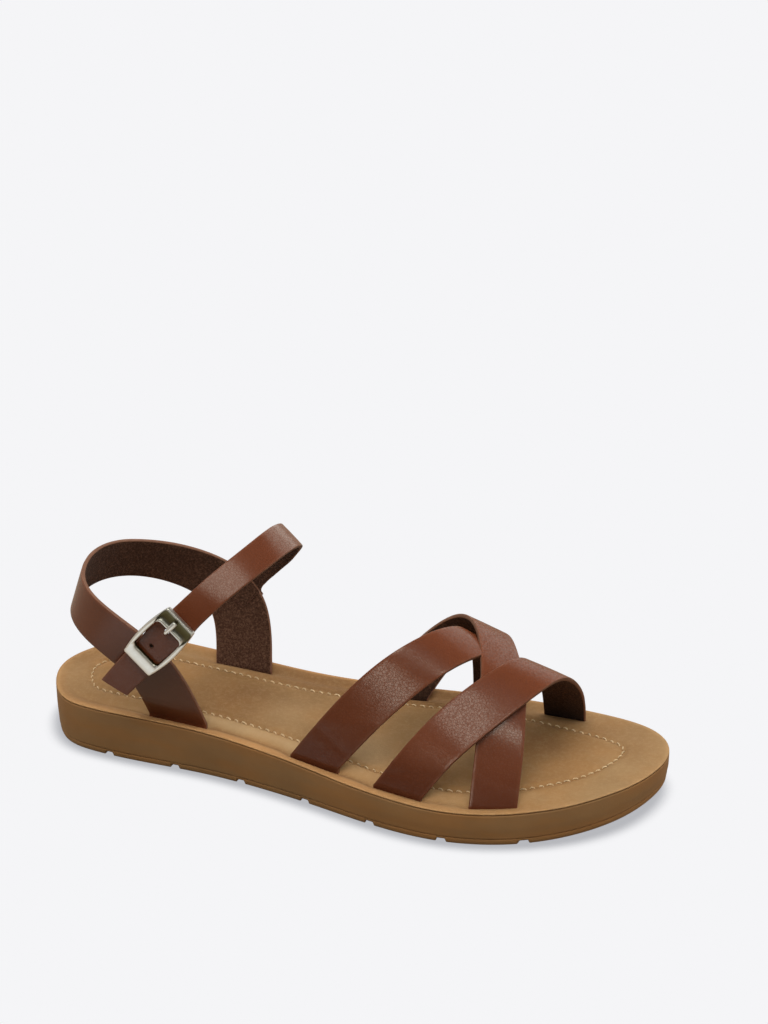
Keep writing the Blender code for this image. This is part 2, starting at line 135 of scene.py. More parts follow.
class Station(NamedTuple):
    """Half widths of the sole at one place along its length."""

    along: float
    outer: float
    inner: float


class Section(NamedTuple):
    """One cross section of a strap: where its middle lies and which way its width points."""

    along: float
    across: float
    up: float
    turn: float
    rise: float
    width: float


class Crease(NamedTuple):
    """A soft fold line on a strap's grain face: place, slant, breadth and height, low ones negative."""

    along: float
    slant: float
    breadth: float
    height: float


class Patch(NamedTuple):
    """A soft round patch on the footbed, in plan, darkened by painted shadow in one list and lightened by
    painted light in the other.
    """

    x: float
    y: float
    reach: float
    share: float


class Level(NamedTuple):
    """One ring of a sole wall: inset from the outline, share of the way from floor to top, lift over it."""

    inset: float
    share: float
    lift: float


def ease(share: Array | float) -> Array:
    """Smooth step from 0 to 1."""
    share = np.clip(share, 0.0, 1.0)
    return share * share * (3.0 - 2.0 * share)


class Ramp(NamedTuple):
    """A smooth rise from 0 to 1: where it starts and how far it runs."""

    start: float
    run: float

    def at(self, place: Array | float) -> Array:
        """The rise at a place."""
        return ease((place - self.start) / self.run)


class Ridge(NamedTuple):
    """A soft ridge of height 1: its middle and its breadth."""

    middle: float
    breadth: float

    def at(self, place: Array | float) -> Array:
        """The ridge's height at a place."""
        return np.exp(-((place - self.middle) / self.breadth) ** 2)


def natural_spline(rows: Sequence[Sequence[float]] | Array, places: Array) -> Array:
    """Points on the natural cubic through evenly spaced rows.

    Args:
        rows: The points that the curve passes through.
        places: Where to read the curve, counted in rows.

    Returns:
        One point for each place.
    """
    rows = np.asarray(rows, float)
    count = len(rows)
    system = np.eye(count)
    right = np.zeros_like(rows)
    for i in range(1, count - 1):
        system[i, i - 1:i + 2] = (1.0, 4.0, 1.0)
        right[i] = 6.0 * (rows[i - 1] - 2.0 * rows[i] + rows[i + 1])
    bend = np.linalg.solve(system, right)
    places = np.asarray(places, float)
    first = np.clip(places.astype(int), 0, count - 2)
    after = (places - first)[:, None]
    before = 1.0 - after
    straight = before * rows[first] + after * rows[first + 1]
    curve = (before**3 - before) * bend[first] + (after**3 - after) * bend[first + 1]
    return straight + curve / 6.0


def eased_profile(knots: Knots, at: Array) -> Array:
    """Heights that run level through each knot and ease between them.

    Args:
        knots: Places and heights of the crests and hollows, in order.
        at: Where to read the profile.

    Returns:
        The height at each place.
    """
    places, heights = np.array(knots).T
    index = np.clip(np.searchsorted(places, at) - 1, 0, len(places) - 2)
    share = (at - places[index]) / (places[index + 1] - places[index])
    return heights[index] + (heights[index + 1] - heights[index]) * ease(share)


def unit(rows: Array) -> Array:
    """Rows of vectors at length one."""
    return rows / np.linalg.norm(rows, axis=-1, keepdims=True)


def grid_faces(rows: int, columns: int, wrap: bool) -> Array:
    """Quads of a grid of points laid out row by row.

    Args:
        rows: Number of rows.
        columns: Points in a row.
        wrap: Whether the last column meets the first.

    Returns:
        Four point numbers for each face.
    """
    i, j = np.meshgrid(np.arange(rows - 1), np.arange(columns if wrap else columns - 1), indexing="ij")
    after = (j + 1) % columns
    below, above = i * columns, (i + 1) * columns
    return np.stack([below + j, below + after, above + after, above + j], -1).reshape(-1, 4)


def capped_faces(rows: int, columns: int) -> Faces:
    """Faces of rings that make a tube, with its two end caps."""
    ends = [tuple(range(start, start + columns)) for start in (0, (rows - 1) * columns)]
    return [*map(tuple, grid_faces(rows, columns, True)), *ends]


def disc_faces(count: int, rings: int) -> Faces:
    """Faces of rings that close on a middle line.

    Args:
        count: Points in a ring.
        rings: Number of rings, the middle line not counted.

    Returns:
        The faces.
    """
    faces = [tuple(face) for face in grid_faces(rings, count, True)]
    last = (rings - 1) * count
    line = rings * count
    tips = (line, line + count // 2)
    for i in range(count):
        j = (i + 1) % count
        near, far = line + min(i, count - i), line + min(j, count - j)
        if near in tips:
            faces += [(last + i, last + j, near), (last + j, far, near)]
        elif far in tips:
            faces += [(last + i, last + j, far), (last + i, far, near)]
        else:
            faces.append((last + i, last + j, far, near))
    return faces


def run_along(path: Array) -> Array:
    """Distance along a path at each of its points."""
    return np.concatenate([[0.0], np.cumsum(np.linalg.norm(np.diff(path, axis=0), axis=1))])


def read_rows(places: Array, run: Array, rows: Array) -> Array:
    """Rows of numbers read between the places where they stand."""
    return np.column_stack([np.interp(places, run, rows[:, k]) for k in range(rows.shape[1])])


def resample(path: Array, count: int, closed: bool) -> Array:
    """Points at even steps along a path.

    Args:
        path: Points of the path.
        count: How many points to give.
        closed: Whether the path comes back to its start.

    Returns:
        The evenly spaced points.
    """
    if closed:
        path = np.vstack([path, path[:1]])
    run = run_along(path)
    return read_rows(np.linspace(0.0, run[-1], count, endpoint=not closed), run, path)


def plan_tree(points: Array) -> KDTree:
    """A search tree over points in plan.

    Args:
        points: The points.

    Returns:
        The tree.
    """
    tree = KDTree(len(points))
    for i, (x, y) in enumerate(points):
        tree.insert((x, y, 0.0), i)
    tree.balance()
    return tree


def plan_find(tree: KDTree, plan: Array) -> tuple[Array, Array]:
    """Number and distance of a tree's nearest point, at places in plan."""
    found = [tree.find((x, y, 0.0)) for x, y in plan]
    return np.array([hit[1] for hit in found]), np.array([hit[2] for hit in found])


def segment_distance(plan: Array, first: Array, last: Array) -> Array:
    """Distance from places in plan to a straight line between two points.

    Args:
        plan: The places.
        first: One end of the line.
        last: The other end.

    Returns:
        The distances.
    """
    run = last - first
    share = np.clip((plan - first) @ run / (run @ run), 0.0, 1.0)
    return np.linalg.norm(plan - first - share[:, None] * run, axis=1)


def new_object(name: str, data: bpy.types.ID) -> Object:
    """A new object in the scene.

    Args:
        name: Its name.
        data: Its mesh, light or camera.

    Returns:
        The object.
    """
    item = bpy.data.objects.new(name, data)
    bpy.context.scene.collection.objects.link(item)
    return item


def mend(mesh: bpy.types.Mesh, weld: float = 0.0) -> None:
    """Turn a mesh's faces outward.

    Args:
        mesh: The mesh.
        weld: Distance up to which points are joined first.
    """
    work = bmesh.new()
    work.from_mesh(mesh)
    if weld:
        bmesh.ops.remove_doubles(work, verts=work.verts, dist=weld)
    bmesh.ops.recalc_face_normals(work, faces=work.faces)
    work.to_mesh(mesh)
    work.free()


@dataclass
class MeshSketch:
    """Points, faces and point values gathered before a mesh is made."""

    points: list[Array] = field(default_factory=list)
    faces: Faces = field(default_factory=list)
    slots: list[int] = field(default_factory=list)
    values: dict[str, list[Array]] = field(default_factory=dict)
    count: int = 0

    def add(self, points: Array, faces: Array | Sequence[Sequence[int]], slots: int | Sequence[int] = 0,
            **values: Array) -> None:
        """Add a shell.

        Args:
            points: Its points.
            faces: Point numbers of its faces, counted within the shell.
            slots: Material slot of every face, or one for each.
            values: Numbers kept on the points, by name.
        """
        rows = [tuple(int(k) + self.count for k in face) for face in faces]
        self.faces += rows
        self.slots += [int(slots)] * len(rows) if isinstance(slots, int) else [int(k) for k in slots]
        for name in set(values) | set(self.values):
            kept = self.values.setdefault(name, [np.zeros(self.count)] if self.count else [])
            kept.append(np.asarray(values.get(name, np.zeros(len(points))), float))
        self.points.append(np.asarray(points, float))
        self.count += len(points)

    def build(self, name: str, materials: Sequence[Material], sharp: float = 50.0) -> Object:
        """Make the object.

        Args:
            name: Its name.
            materials: Its material slots.
            sharp: Angle in degrees from which an edge shades hard.

        Returns:
            The new object, linked to the scene.
        """
        mesh = bpy.data.meshes.new(name)
        mesh.from_pydata(np.vstack(self.points).tolist(), [], self.faces)
        for material in materials:
            mesh.materials.append(material)
        mesh.polygons.foreach_set("material_index", self.slots)
        for key, kept in self.values.items():
            layer = mesh.attributes.new(key, "FLOAT", "POINT")
            layer.data.foreach_set("value", np.concatenate(kept).astype(np.float32))
        mend(mesh)
        mesh.shade_smooth()
        mesh.set_sharp_from_angle(angle=math.radians(sharp))
        return new_object(name, mesh)


def tube(path: Array, radii: Array, sides: int, flat: Array | float = 1.0, across: Array | None = None
         ) -> tuple[Array, Faces]:
    """A closed tube along a path.

    Args:
        path: Points of its axis.
        radii: Radius at each point.
        sides: Points round it.
        flat: Height of its section as a share of its breadth.
        across: Direction of that breadth at each point, level where none is given.

    Returns:
        Its points and faces.
    """
    ahead = unit(np.gradient(path, axis=0))
    if across is None:
        steep = abs(ahead[:, 2]).mean() > 0.8
        across = unit(np.cross(ahead, (0.0, 1.0, 0.0) if steep else (0.0, 0.0, 1.0)))
    over = np.cross(across, ahead)
    angle = np.linspace(0.0, 2.0 * math.pi, sides, endpoint=False)
    rings = path[:, None] + across[:, None] * (radii[:, None] * np.cos(angle))[..., None]
    rings = rings + over[:, None] * ((radii * flat)[:, None] * np.sin(angle))[..., None]
    return rings.reshape(-1, 3), capped_faces(len(path), sides)


class Canvas:
    """A node tree with short ways to place and join nodes."""

    def __init__(self, tree: Tree) -> None:
        """Keep the tree."""
        self.tree = tree

    def feed(self, entry: Socket, value: object) -> None:
        """Join a socket to an input, or set a plain value on it.

        Args:
            entry: The input.
            value: Socket, number, vector or colour.
        """
        if isinstance(value, Socket):
            self.tree.links.new(value, entry)
        else:
            entry.default_value = (*value, 1.0) if entry.type == "RGBA" else value

    def put(self, kind: str, inputs: dict[str | int, object] | None = None, **settings: object
            ) -> bpy.types.Node:
        """Place a node.

        Args:
            kind: Its type, without the words that all shader nodes start with.
            inputs: Sockets to join or values to set, by input name or number.
            settings: Its own properties.

        Returns:
            The node.
        """
        node = self.tree.nodes.new("ShaderNode" + kind)
        for name, value in settings.items():
            setattr(node, name, value)
        for key, value in (inputs or {}).items():
            self.feed(node.inputs[key], value)
        return node

    def plus(self, first: object, second: object) -> Socket:
        """Sum of two values."""
        return self.put("Math", {0: first, 1: second}, operation="ADD").outputs[0]

    def times(self, first: object, second: object, clamp: bool = False) -> Socket:
        """Product of two values, which may be held between 0 and 1."""
        return self.put("Math", {0: first, 1: second}, operation="MULTIPLY", use_clamp=clamp).outputs[0]

    def vector(self, kind: str, inputs: dict[str | int, object]) -> bpy.types.Node:
        """A node that works on vectors."""
        return self.put("VectorMath", inputs, operation=kind)

    def span(self, value: object, low: float, high: float, start: float = 0.0, end: float = 1.0) -> Socket:
        """A value carried smoothly from one span, low to high, to another, start to end."""
        ends = {0: value, 1: low, 2: high, 3: start, 4: end}
        return self.put("MapRange", ends, interpolation_type="SMOOTHSTEP").outputs[0]

    def blend(self, share: object, first: object, second: object, kind: str = "MIX") -> Socket:
        """A mix of two colours, with the second one's share."""
        sockets = {0: share, 6: first, 7: second}
        return self.put("Mix", sockets, data_type="RGBA", blend_type=kind).outputs[2]

    def grey(self, level: Socket) -> Socket:
        """A grey of a given level."""
        return self.put("CombineColor", {0: level, 1: level, 2: level}).outputs[0]

    def noise(self, place: object, scale: object, detail: float = 2.0, rough: float = 0.5) -> Socket:
        """A noise value, with its fineness, its octaves and the share of the fine ones."""
        inputs = {"Vector": place, "Scale": scale, "Detail": detail, "Roughness": rough}
        return self.put("TexNoise", inputs).outputs[0]

    def place(self) -> Socket:
        """The object's own coordinates, in metres."""
        return self.put("TexCoord").outputs["Object"]

    def value(self, name: str) -> Socket:
        """A number kept on the mesh's points."""
        return self.put("Attribute", attribute_name=name).outputs["Fac"]


class Effects:
    """Surface effects that several finishes share, each built once as a node group."""

    def __init__(self) -> None:
        """Build every group."""
        self._grain()
        self._drift()
        self._nap()
        self._rub()
        self._cloud()

    @staticmethod
    def _start(name: str, **inputs: float | Color) -> tuple[Canvas, Outputs]:
        """Start a group with its inputs.

        Args:
            name: Its name.
            inputs: Their usual values, by name.

        Returns:
            The group's canvas, and its inputs as sockets to join from.
        """
        group = bpy.data.node_groups.new(name, "ShaderNodeTree")
        for key, usual in inputs.items():
            tint = isinstance(usual, tuple)
            kind = "NodeSocketColor" if tint else "NodeSocketFloat"
            socket = group.interface.new_socket(key, in_out="INPUT", socket_type=kind)
            socket.default_value = (*usual, 1.0) if tint else usual
        return Canvas(group), group.nodes.new("NodeGroupInput").outputs

    @staticmethod
    def _end(canvas: Canvas, **outputs: Socket) -> Tree:
        """Give a group its outputs.

        Args:
            canvas: The group's canvas.
            outputs: The sockets that it puts out, by name.

        Returns:
            The group.
        """
        for key, socket in outputs.items():
            kind = "NodeSocketColor" if socket.type == "RGBA" else "NodeSocketFloat"
            canvas.tree.interface.new_socket(key, in_out="OUTPUT", socket_type=kind)
        wanted = canvas.tree.nodes.new("NodeGroupOutput")
        for key, socket in outputs.items():
            canvas.feed(wanted.inputs[key], socket)
        return canvas.tree

    def _grain(self) -> None:
        """Pebbled grain of pressed leather: rounded cells with furrows between them."""
        canvas, given = self._start("pebble_grain", Scale=900.0, Warp=0.0006)
        scale = given["Scale"]
        place = canvas.place()
        swirl = canvas.put("TexNoise", {"Vector": place, "Scale": 700.0, "Detail": 2.0}).outputs["Color"]
        shift = canvas.vector("SUBTRACT", {0: swirl, 1: (0.5, 0.5, 0.5)}).outputs[0]
        shift = canvas.vector("SCALE", {0: shift, "Scale": given["Warp"]}).outputs[0]
        bent = canvas.vector("ADD", {0: place, 1: shift}).outputs[0]
        where = {"Vector": bent, "Scale": scale}
        cells = canvas.put("TexVoronoi", where, feature="DISTANCE_TO_EDGE").outputs[0]
        tint = canvas.put("TexVoronoi", where).outputs["Color"]
        cell = canvas.put("SeparateColor", {0: tint}).outputs[0]
        fine = canvas.noise(bent, canvas.times(scale, 2.2))
        lumps = canvas.noise(place, canvas.times(scale, 0.40))
        height = canvas.plus(canvas.times(fine, 0.14), canvas.times(lumps, 0.8))
        height = canvas.plus(height, canvas.span(cells, 0.0, 0.42, 0.0, 0.60))
        furrow = canvas.span(cells, 0.02, 0.22, 1.0, 0.0)
        self.grain = self._end(canvas, Height=height, Furrow=furrow, Cell=cell)

    def _drift(self) -> None:
        """Slow changes of tone over a surface."""
        canvas, given = self._start("tone_drift", Color=(0.5, 0.5, 0.5), Scale=40.0, Amount=0.2)
        cloud = canvas.noise(canvas.place(), given["Scale"], 4.0, 0.6)
        swing = canvas.times(canvas.plus(cloud, -0.5), canvas.times(given["Amount"], 2.0))
        level = canvas.grey(canvas.plus(swing, 1.0))
        self.drift = self._end(canvas, Color=canvas.blend(1.0, given["Color"], level, "MULTIPLY"))

    def _nap(self) -> None:
        """Short felted fibres: fine height and pale flecks."""
        canvas, given = self._start("fibre_nap", Scale=2500.0)
        place = canvas.place()
        fine = canvas.noise(place, given["Scale"], 4.0, 0.7)
        tufts = canvas.noise(place, canvas.times(given["Scale"], 0.33), 3.0, 0.6)
        height = canvas.plus(canvas.times(fine, 0.6), canvas.times(tufts, 0.6))
        self.nap = self._end(canvas, Height=height, Fleck=canvas.span(height, 0.52, 0.78))

    def _rub(self) -> None:
        """Paler, broken colour where an edge has been rubbed."""
        canvas, given = self._start(
            "edge_rub", Color=(0.5, 0.5, 0.5), Rubbed=(0.7, 0.7, 0.7), Edge=0.0, Amount=0.5)
        breaks = canvas.span(canvas.noise(canvas.place(), 420.0, 4.0, 0.65), 0.35, 0.7)
        mask = canvas.times(given["Edge"], canvas.plus(canvas.times(breaks, 0.6), 0.4))
        mask = canvas.times(mask, given["Amount"], True)
        self.rub = self._end(canvas, Color=canvas.blend(mask, given["Color"], given["Rubbed"]))

    def _cloud(self) -> None:
        """Soft patches of a second colour, which may lie in level streaks."""
        plain = (0.5, 0.5, 0.5)
        canvas, given = self._start(
            "tone_cloud", Color=plain, Second=plain, Scale=30.0, Stretch=1.0, Amount=0.5)
        squash = canvas.put("CombineXYZ", {0: 1.0, 1: 1.0, 2: given["Stretch"]}).outputs[0]
        place = canvas.vector("MULTIPLY", {0: canvas.place(), 1: squash}).outputs[0]
        patches = canvas.span(canvas.noise(place, given["Scale"], 3.0, 0.55), 0.38, 0.68)
        share = canvas.times(patches, given["Amount"])
        self.cloud = self._end(canvas, Color=canvas.blend(share, given["Color"], given["Second"]))


class Brush(Canvas):
    """The nodes of a new material, with the shared effects at hand."""

    def __init__(self, name: str, effects: Effects | None = None) -> None:
        """Start the material.

        Args:
            name: Its name.
            effects: The shared effects, where it uses them.
        """
        self.material = bpy.data.materials.new(name)
        self.material.use_nodes = True
        self.effects = effects
        super().__init__(self.material.node_tree)

    def effect(self, group: Tree, **inputs: object) -> Outputs:
        """Outputs of a shared effect that is given its own values."""
        return self.put("Group", inputs, node_tree=group).outputs

    def nap(self, scale: float) -> Outputs:
        """Outputs of felted fibres."""
        return self.effect(self.effects.nap, Scale=scale)

    def drift(self, tone: object, drift: Drift) -> Socket:
        """A tone with slow changes."""
        return self.effect(self.effects.drift, Color=tone, Scale=drift.scale, Amount=drift.amount)["Color"]

    def cloud(self, tone: object, cloud: Cloud) -> Socket:
        """A tone with soft patches of a second one."""
        return self.effect(self.effects.cloud, Color=tone, Second=cloud.color, Scale=cloud.scale,
                           Stretch=cloud.stretch, Amount=cloud.amount)["Color"]

    def rub(self, tone: object, rub: Touch) -> Socket:
        """A tone with rubbed edges."""
        return self.effect(self.effects.rub, Color=tone, Rubbed=rub.color, Edge=self.value("edge"),
                           Amount=rub.amount)["Color"]

    def over(self, tone: object, *layers: Layer) -> object:
        """A tone with layers over it.

        Args:
            tone: Socket or colour.
            layers: The layers, the lowest first.

        Returns:
            The covered tone.
        """
        for layer in layers:
            tone = self.blend(self.value(layer.value), tone, layer.color)
        return tone

    def bump(self, height: Socket, depth: float) -> Socket:
        """A normal from a height, with the depth in metres of one unit of it."""
        return self.put("Bump", {"Height": height, "Distance": depth}).outputs[0]

    def shade(self, **sockets: object) -> None:
        """Join sockets to the material's shader, or set plain values on it.

        Args:
            sockets: Sockets or values, by input name with low lines for spaces.
        """
        shader = self.tree.nodes["Principled BSDF"]
        for key, value in sockets.items():
            self.feed(shader.inputs[key.replace("_", " ").title().replace("Ior", "IOR")], value)


@dataclass(frozen=True)
class Finish:
    """Base of the finishes: a name, and the way to a material."""

    name: str

    def make(self, effects: Effects) -> Material:
        """Build the material.

        Args:
            effects: The shared effects.

        Returns:
            The material.
        """
        brush = Brush(self.name, effects)
        self.dress(brush)
        return brush.material

    def dress(self, brush: Brush) -> None:
        """Join the nodes, in each finish's own way."""
        raise NotImplementedError


@dataclass(frozen=True)
class LeatherFinish(Finish):
    """Pressed red-brown strap leather with a soft sheen."""

    name: str = "strap_grain"
    base: Color = (0.182, 0.0490, 0.0185)
    deep: Color = (0.080, 0.0200, 0.0075)
    drift: Drift = Drift(38.0, 0.16)
    rub: Touch = Touch((0.300, 0.125, 0.068), 0.55)
    roughness: float = 0.55
    grain_scale: float = 900.0
    grain_warp: float = 0.0007
    grain_depth: float = 0.00004
    specular: float = 0.0
    gloss_roughness: float = 0.25
    cell_gloss: float = 0.82
    furrow_gloss: float = 0.42
    furrow_tone: float = 0.12

    def dress(self, brush: Brush) -> None:
        """Lay the grain on a drifting tone, darkened toward the strap's feet by painted shade, and rubbed at
        its edges.

        Args:
            brush: The material's nodes.
        """
        grain = brush.effect(brush.effects.grain, Scale=self.grain_scale, Warp=self.grain_warp)
        tone = brush.drift(self.base, self.drift)
        tone = brush.blend(brush.times(grain["Furrow"], self.furrow_tone), tone, self.deep)
        # The foot layer is painted shade: the strap darkens toward its feet.
        tone = brush.rub(brush.over(tone, Layer("foot", self.deep)), self.rub)
        gloss = brush.span(grain["Cell"], 0.0, 1.0, self.cell_gloss, 1.0)
        gloss = brush.times(gloss, brush.span(grain["Furrow"], 0.0, 1.0, 1.0, self.furrow_gloss))
        brush.shade(base_color=tone, roughness=self.roughness, specular_ior_level=self.specular,
                    coat_weight=gloss, coat_roughness=self.gloss_roughness,
                    normal=brush.bump(grain["Height"], self.grain_depth))


@dataclass(frozen=True)
class NappedFinish(Finish):
    """A napped surface: layers of tone with a cloud under them, drift, flecks, and rubbed edges over all."""

    base: Color
    nap_scale: float
    nap_depth: float
    drift: Drift
    roughness: float
    specular: float = 0.5
    sheen: float = 0.0
    under: tuple[Layer, ...] = ()
    cloud: Cloud | None = None
    layers: tuple[Layer, ...] = ()
    fleck: Touch | None = None
    last: tuple[Layer, ...] = ()
    rub: Touch | None = None

    def dress(self, brush: Brush) -> None:
        """Lay the tones over each other and raise the nap.

        Args:
            brush: The material's nodes.
        """
        nap = brush.nap(self.nap_scale)
        tone = brush.over(self.base, *self.under)
        if self.cloud:
            tone = brush.cloud(tone, self.cloud)
        tone = brush.drift(brush.over(tone, *self.layers), self.drift)
        if self.fleck:
            tone = brush.blend(brush.times(nap["Fleck"], self.fleck.amount), tone, self.fleck.color)
        tone = brush.over(tone, *self.last)
        if self.rub:
            tone = brush.rub(tone, self.rub)
        brush.shade(base_color=tone, roughness=self.roughness, specular_ior_level=self.specular,
                    sheen_weight=self.sheen, normal=brush.bump(nap["Height"], self.nap_depth))


CUT_EDGE = NappedFinish(
    "strap_cut_edge", (0.225, 0.096, 0.050), nap_scale=3200.0, nap_depth=0.0001, drift=Drift(160.0, 0.35),
    roughness=0.72)
# The lining's foot layer is painted shade toward the strap's feet.
LINING = NappedFinish(
    "strap_lining", (0.062, 0.025, 0.013), nap_scale=3800.0, nap_depth=0.0004, drift=Drift(70.0, 0.25),
    roughness=0.95, specular=0.1, sheen=0.10, fleck=Touch((0.230, 0.118, 0.072), 0.8),
    last=(Layer("foot", (0.014, 0.006, 0.003)),))
FOOTBED_COVER = NappedFinish(
    "footbed_cover", (0.375, 0.224, 0.097), nap_scale=1700.0, nap_depth=0.00012, drift=Drift(48.0, 0.26),
    roughness=0.85, specular=0.2, under=(Layer("pad", (0.300, 0.168, 0.067)),),
    cloud=Cloud((0.370, 0.188, 0.066), 34.0, 1.0, 0.75),
    # Of these layers, the first is painted light and the third is painted shade on the border, in the crease
    # and under the straps.
    layers=(Layer("puff", (0.470, 0.310, 0.155)), Layer("rim", (0.430, 0.218, 0.081)),
            Layer("fold", (0.235, 0.116, 0.042)), Layer("low", (0.100, 0.036, 0.008))),
    # The hole layer is painted shade in the needle holes.
    fleck=Touch((0.560, 0.370, 0.190), 0.16), last=(Layer("hole", (0.130, 0.062, 0.024)),),
    # The rub falls only on a paler line along the rim's rounded top edge.
    rub=Touch((0.620, 0.345, 0.145), 0.40))
MOULDED_RUBBER = NappedFinish(
    "moulded_rubber", (0.385, 0.204, 0.081), nap_scale=1500.0, nap_depth=0.00008, drift=Drift(30.0, 0.27),
    roughness=0.62, specular=0.25, under=(Layer("band", (0.375, 0.194, 0.073)),),
    cloud=Cloud((0.430, 0.195, 0.062), 26.0, 4.0, 0.70), rub=Touch((0.500, 0.280, 0.115), 0.30))
RIBBED_ELASTIC = NappedFinish(
    "ribbed_elastic", (0.045, 0.014, 0.008), nap_scale=3600.0, nap_depth=0.00015, drift=Drift(120.0, 0.2),
    roughness=0.85, sheen=0.1, under=(Layer("rib", (0.120, 0.042, 0.022)),))


@dataclass(frozen=True)
class ThreadFinish(Finish):
    """Twisted sewing thread."""

    name: str = "cream_thread"
    base: Color = (0.860, 0.660, 0.390)
    dark: Color = (0.600, 0.420, 0.215)

    def dress(self, brush: Brush) -> None:
        """Lay the twist of the thread.

        Args:
            brush: The material's nodes.
        """
        twist = brush.span(brush.noise(brush.place(), 2600.0), 0.35, 0.65)
        tone = brush.drift(brush.blend(twist, self.dark, self.base), Drift(90.0, 0.12))
        brush.shade(base_color=tone, roughness=0.75, normal=brush.bump(twist, 0.00006))


@dataclass(frozen=True)
class MetalFinish(Finish):
    """Bright silver plating, with painted dark reflection on its sunk upper bar and on the window's inner
    wall.
    """

    name: str = "silver_plating"
    base: Color = (0.860, 0.850, 0.815)
    # Painted dark reflection.
    hollow: Color = (0.105, 0.092, 0.045)

    def dress(self, brush: Brush) -> None:
        """Lay a slightly smeared polish.

        Args:
            brush: The material's nodes.
        """
        # The hollow layer is painted dark reflection.
        tone = brush.drift(brush.over(self.base, Layer("hollow", self.hollow)), Drift(260.0, 0.06))
        smear = brush.noise(brush.place(), 900.0, 4.0, 0.6)
        brush.shade(base_color=tone, metallic=1.0, roughness=brush.span(smear, 0.3, 0.7, 0.34, 0.40))


@dataclass
class Workshop:
    """Every finish as a material, and the way a finished piece is handed to the frame."""

    effects: Effects
    made: dict[str, Material] = field(default_factory=dict)

    def get(self, finish: Finish) -> Material:
        """The material of a finish, made once.

        Args:
            finish: The finish.

        Returns:
            Its material.
        """
        if finish.name not in self.made:
            self.made[finish.name] = finish.make(self.effects)
        return self.made[finish.name]

    def strap_set(self, leather: LeatherFinish) -> list[Material]:
        """Materials of a strap with the given leather, in the order of its faces."""
        return [self.get(leather), self.get(CUT_EDGE), self.get(LINING)]

    @staticmethod
    def hand_over(item: Object, slot: Slot, *nodes: str) -> None:
        """Tie a piece to the frame.

        Args:
            item: The piece.
            slot: Its material slot in the record; not used.
            nodes: Solids that it stands for.
        """
        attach(item, BODY)
        if nodes:
            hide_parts(*nodes)
        item.data.calc_loop_triangles()
        LOG.info("%s: %d triangles", item.name, len(item.data.loop_triangles))


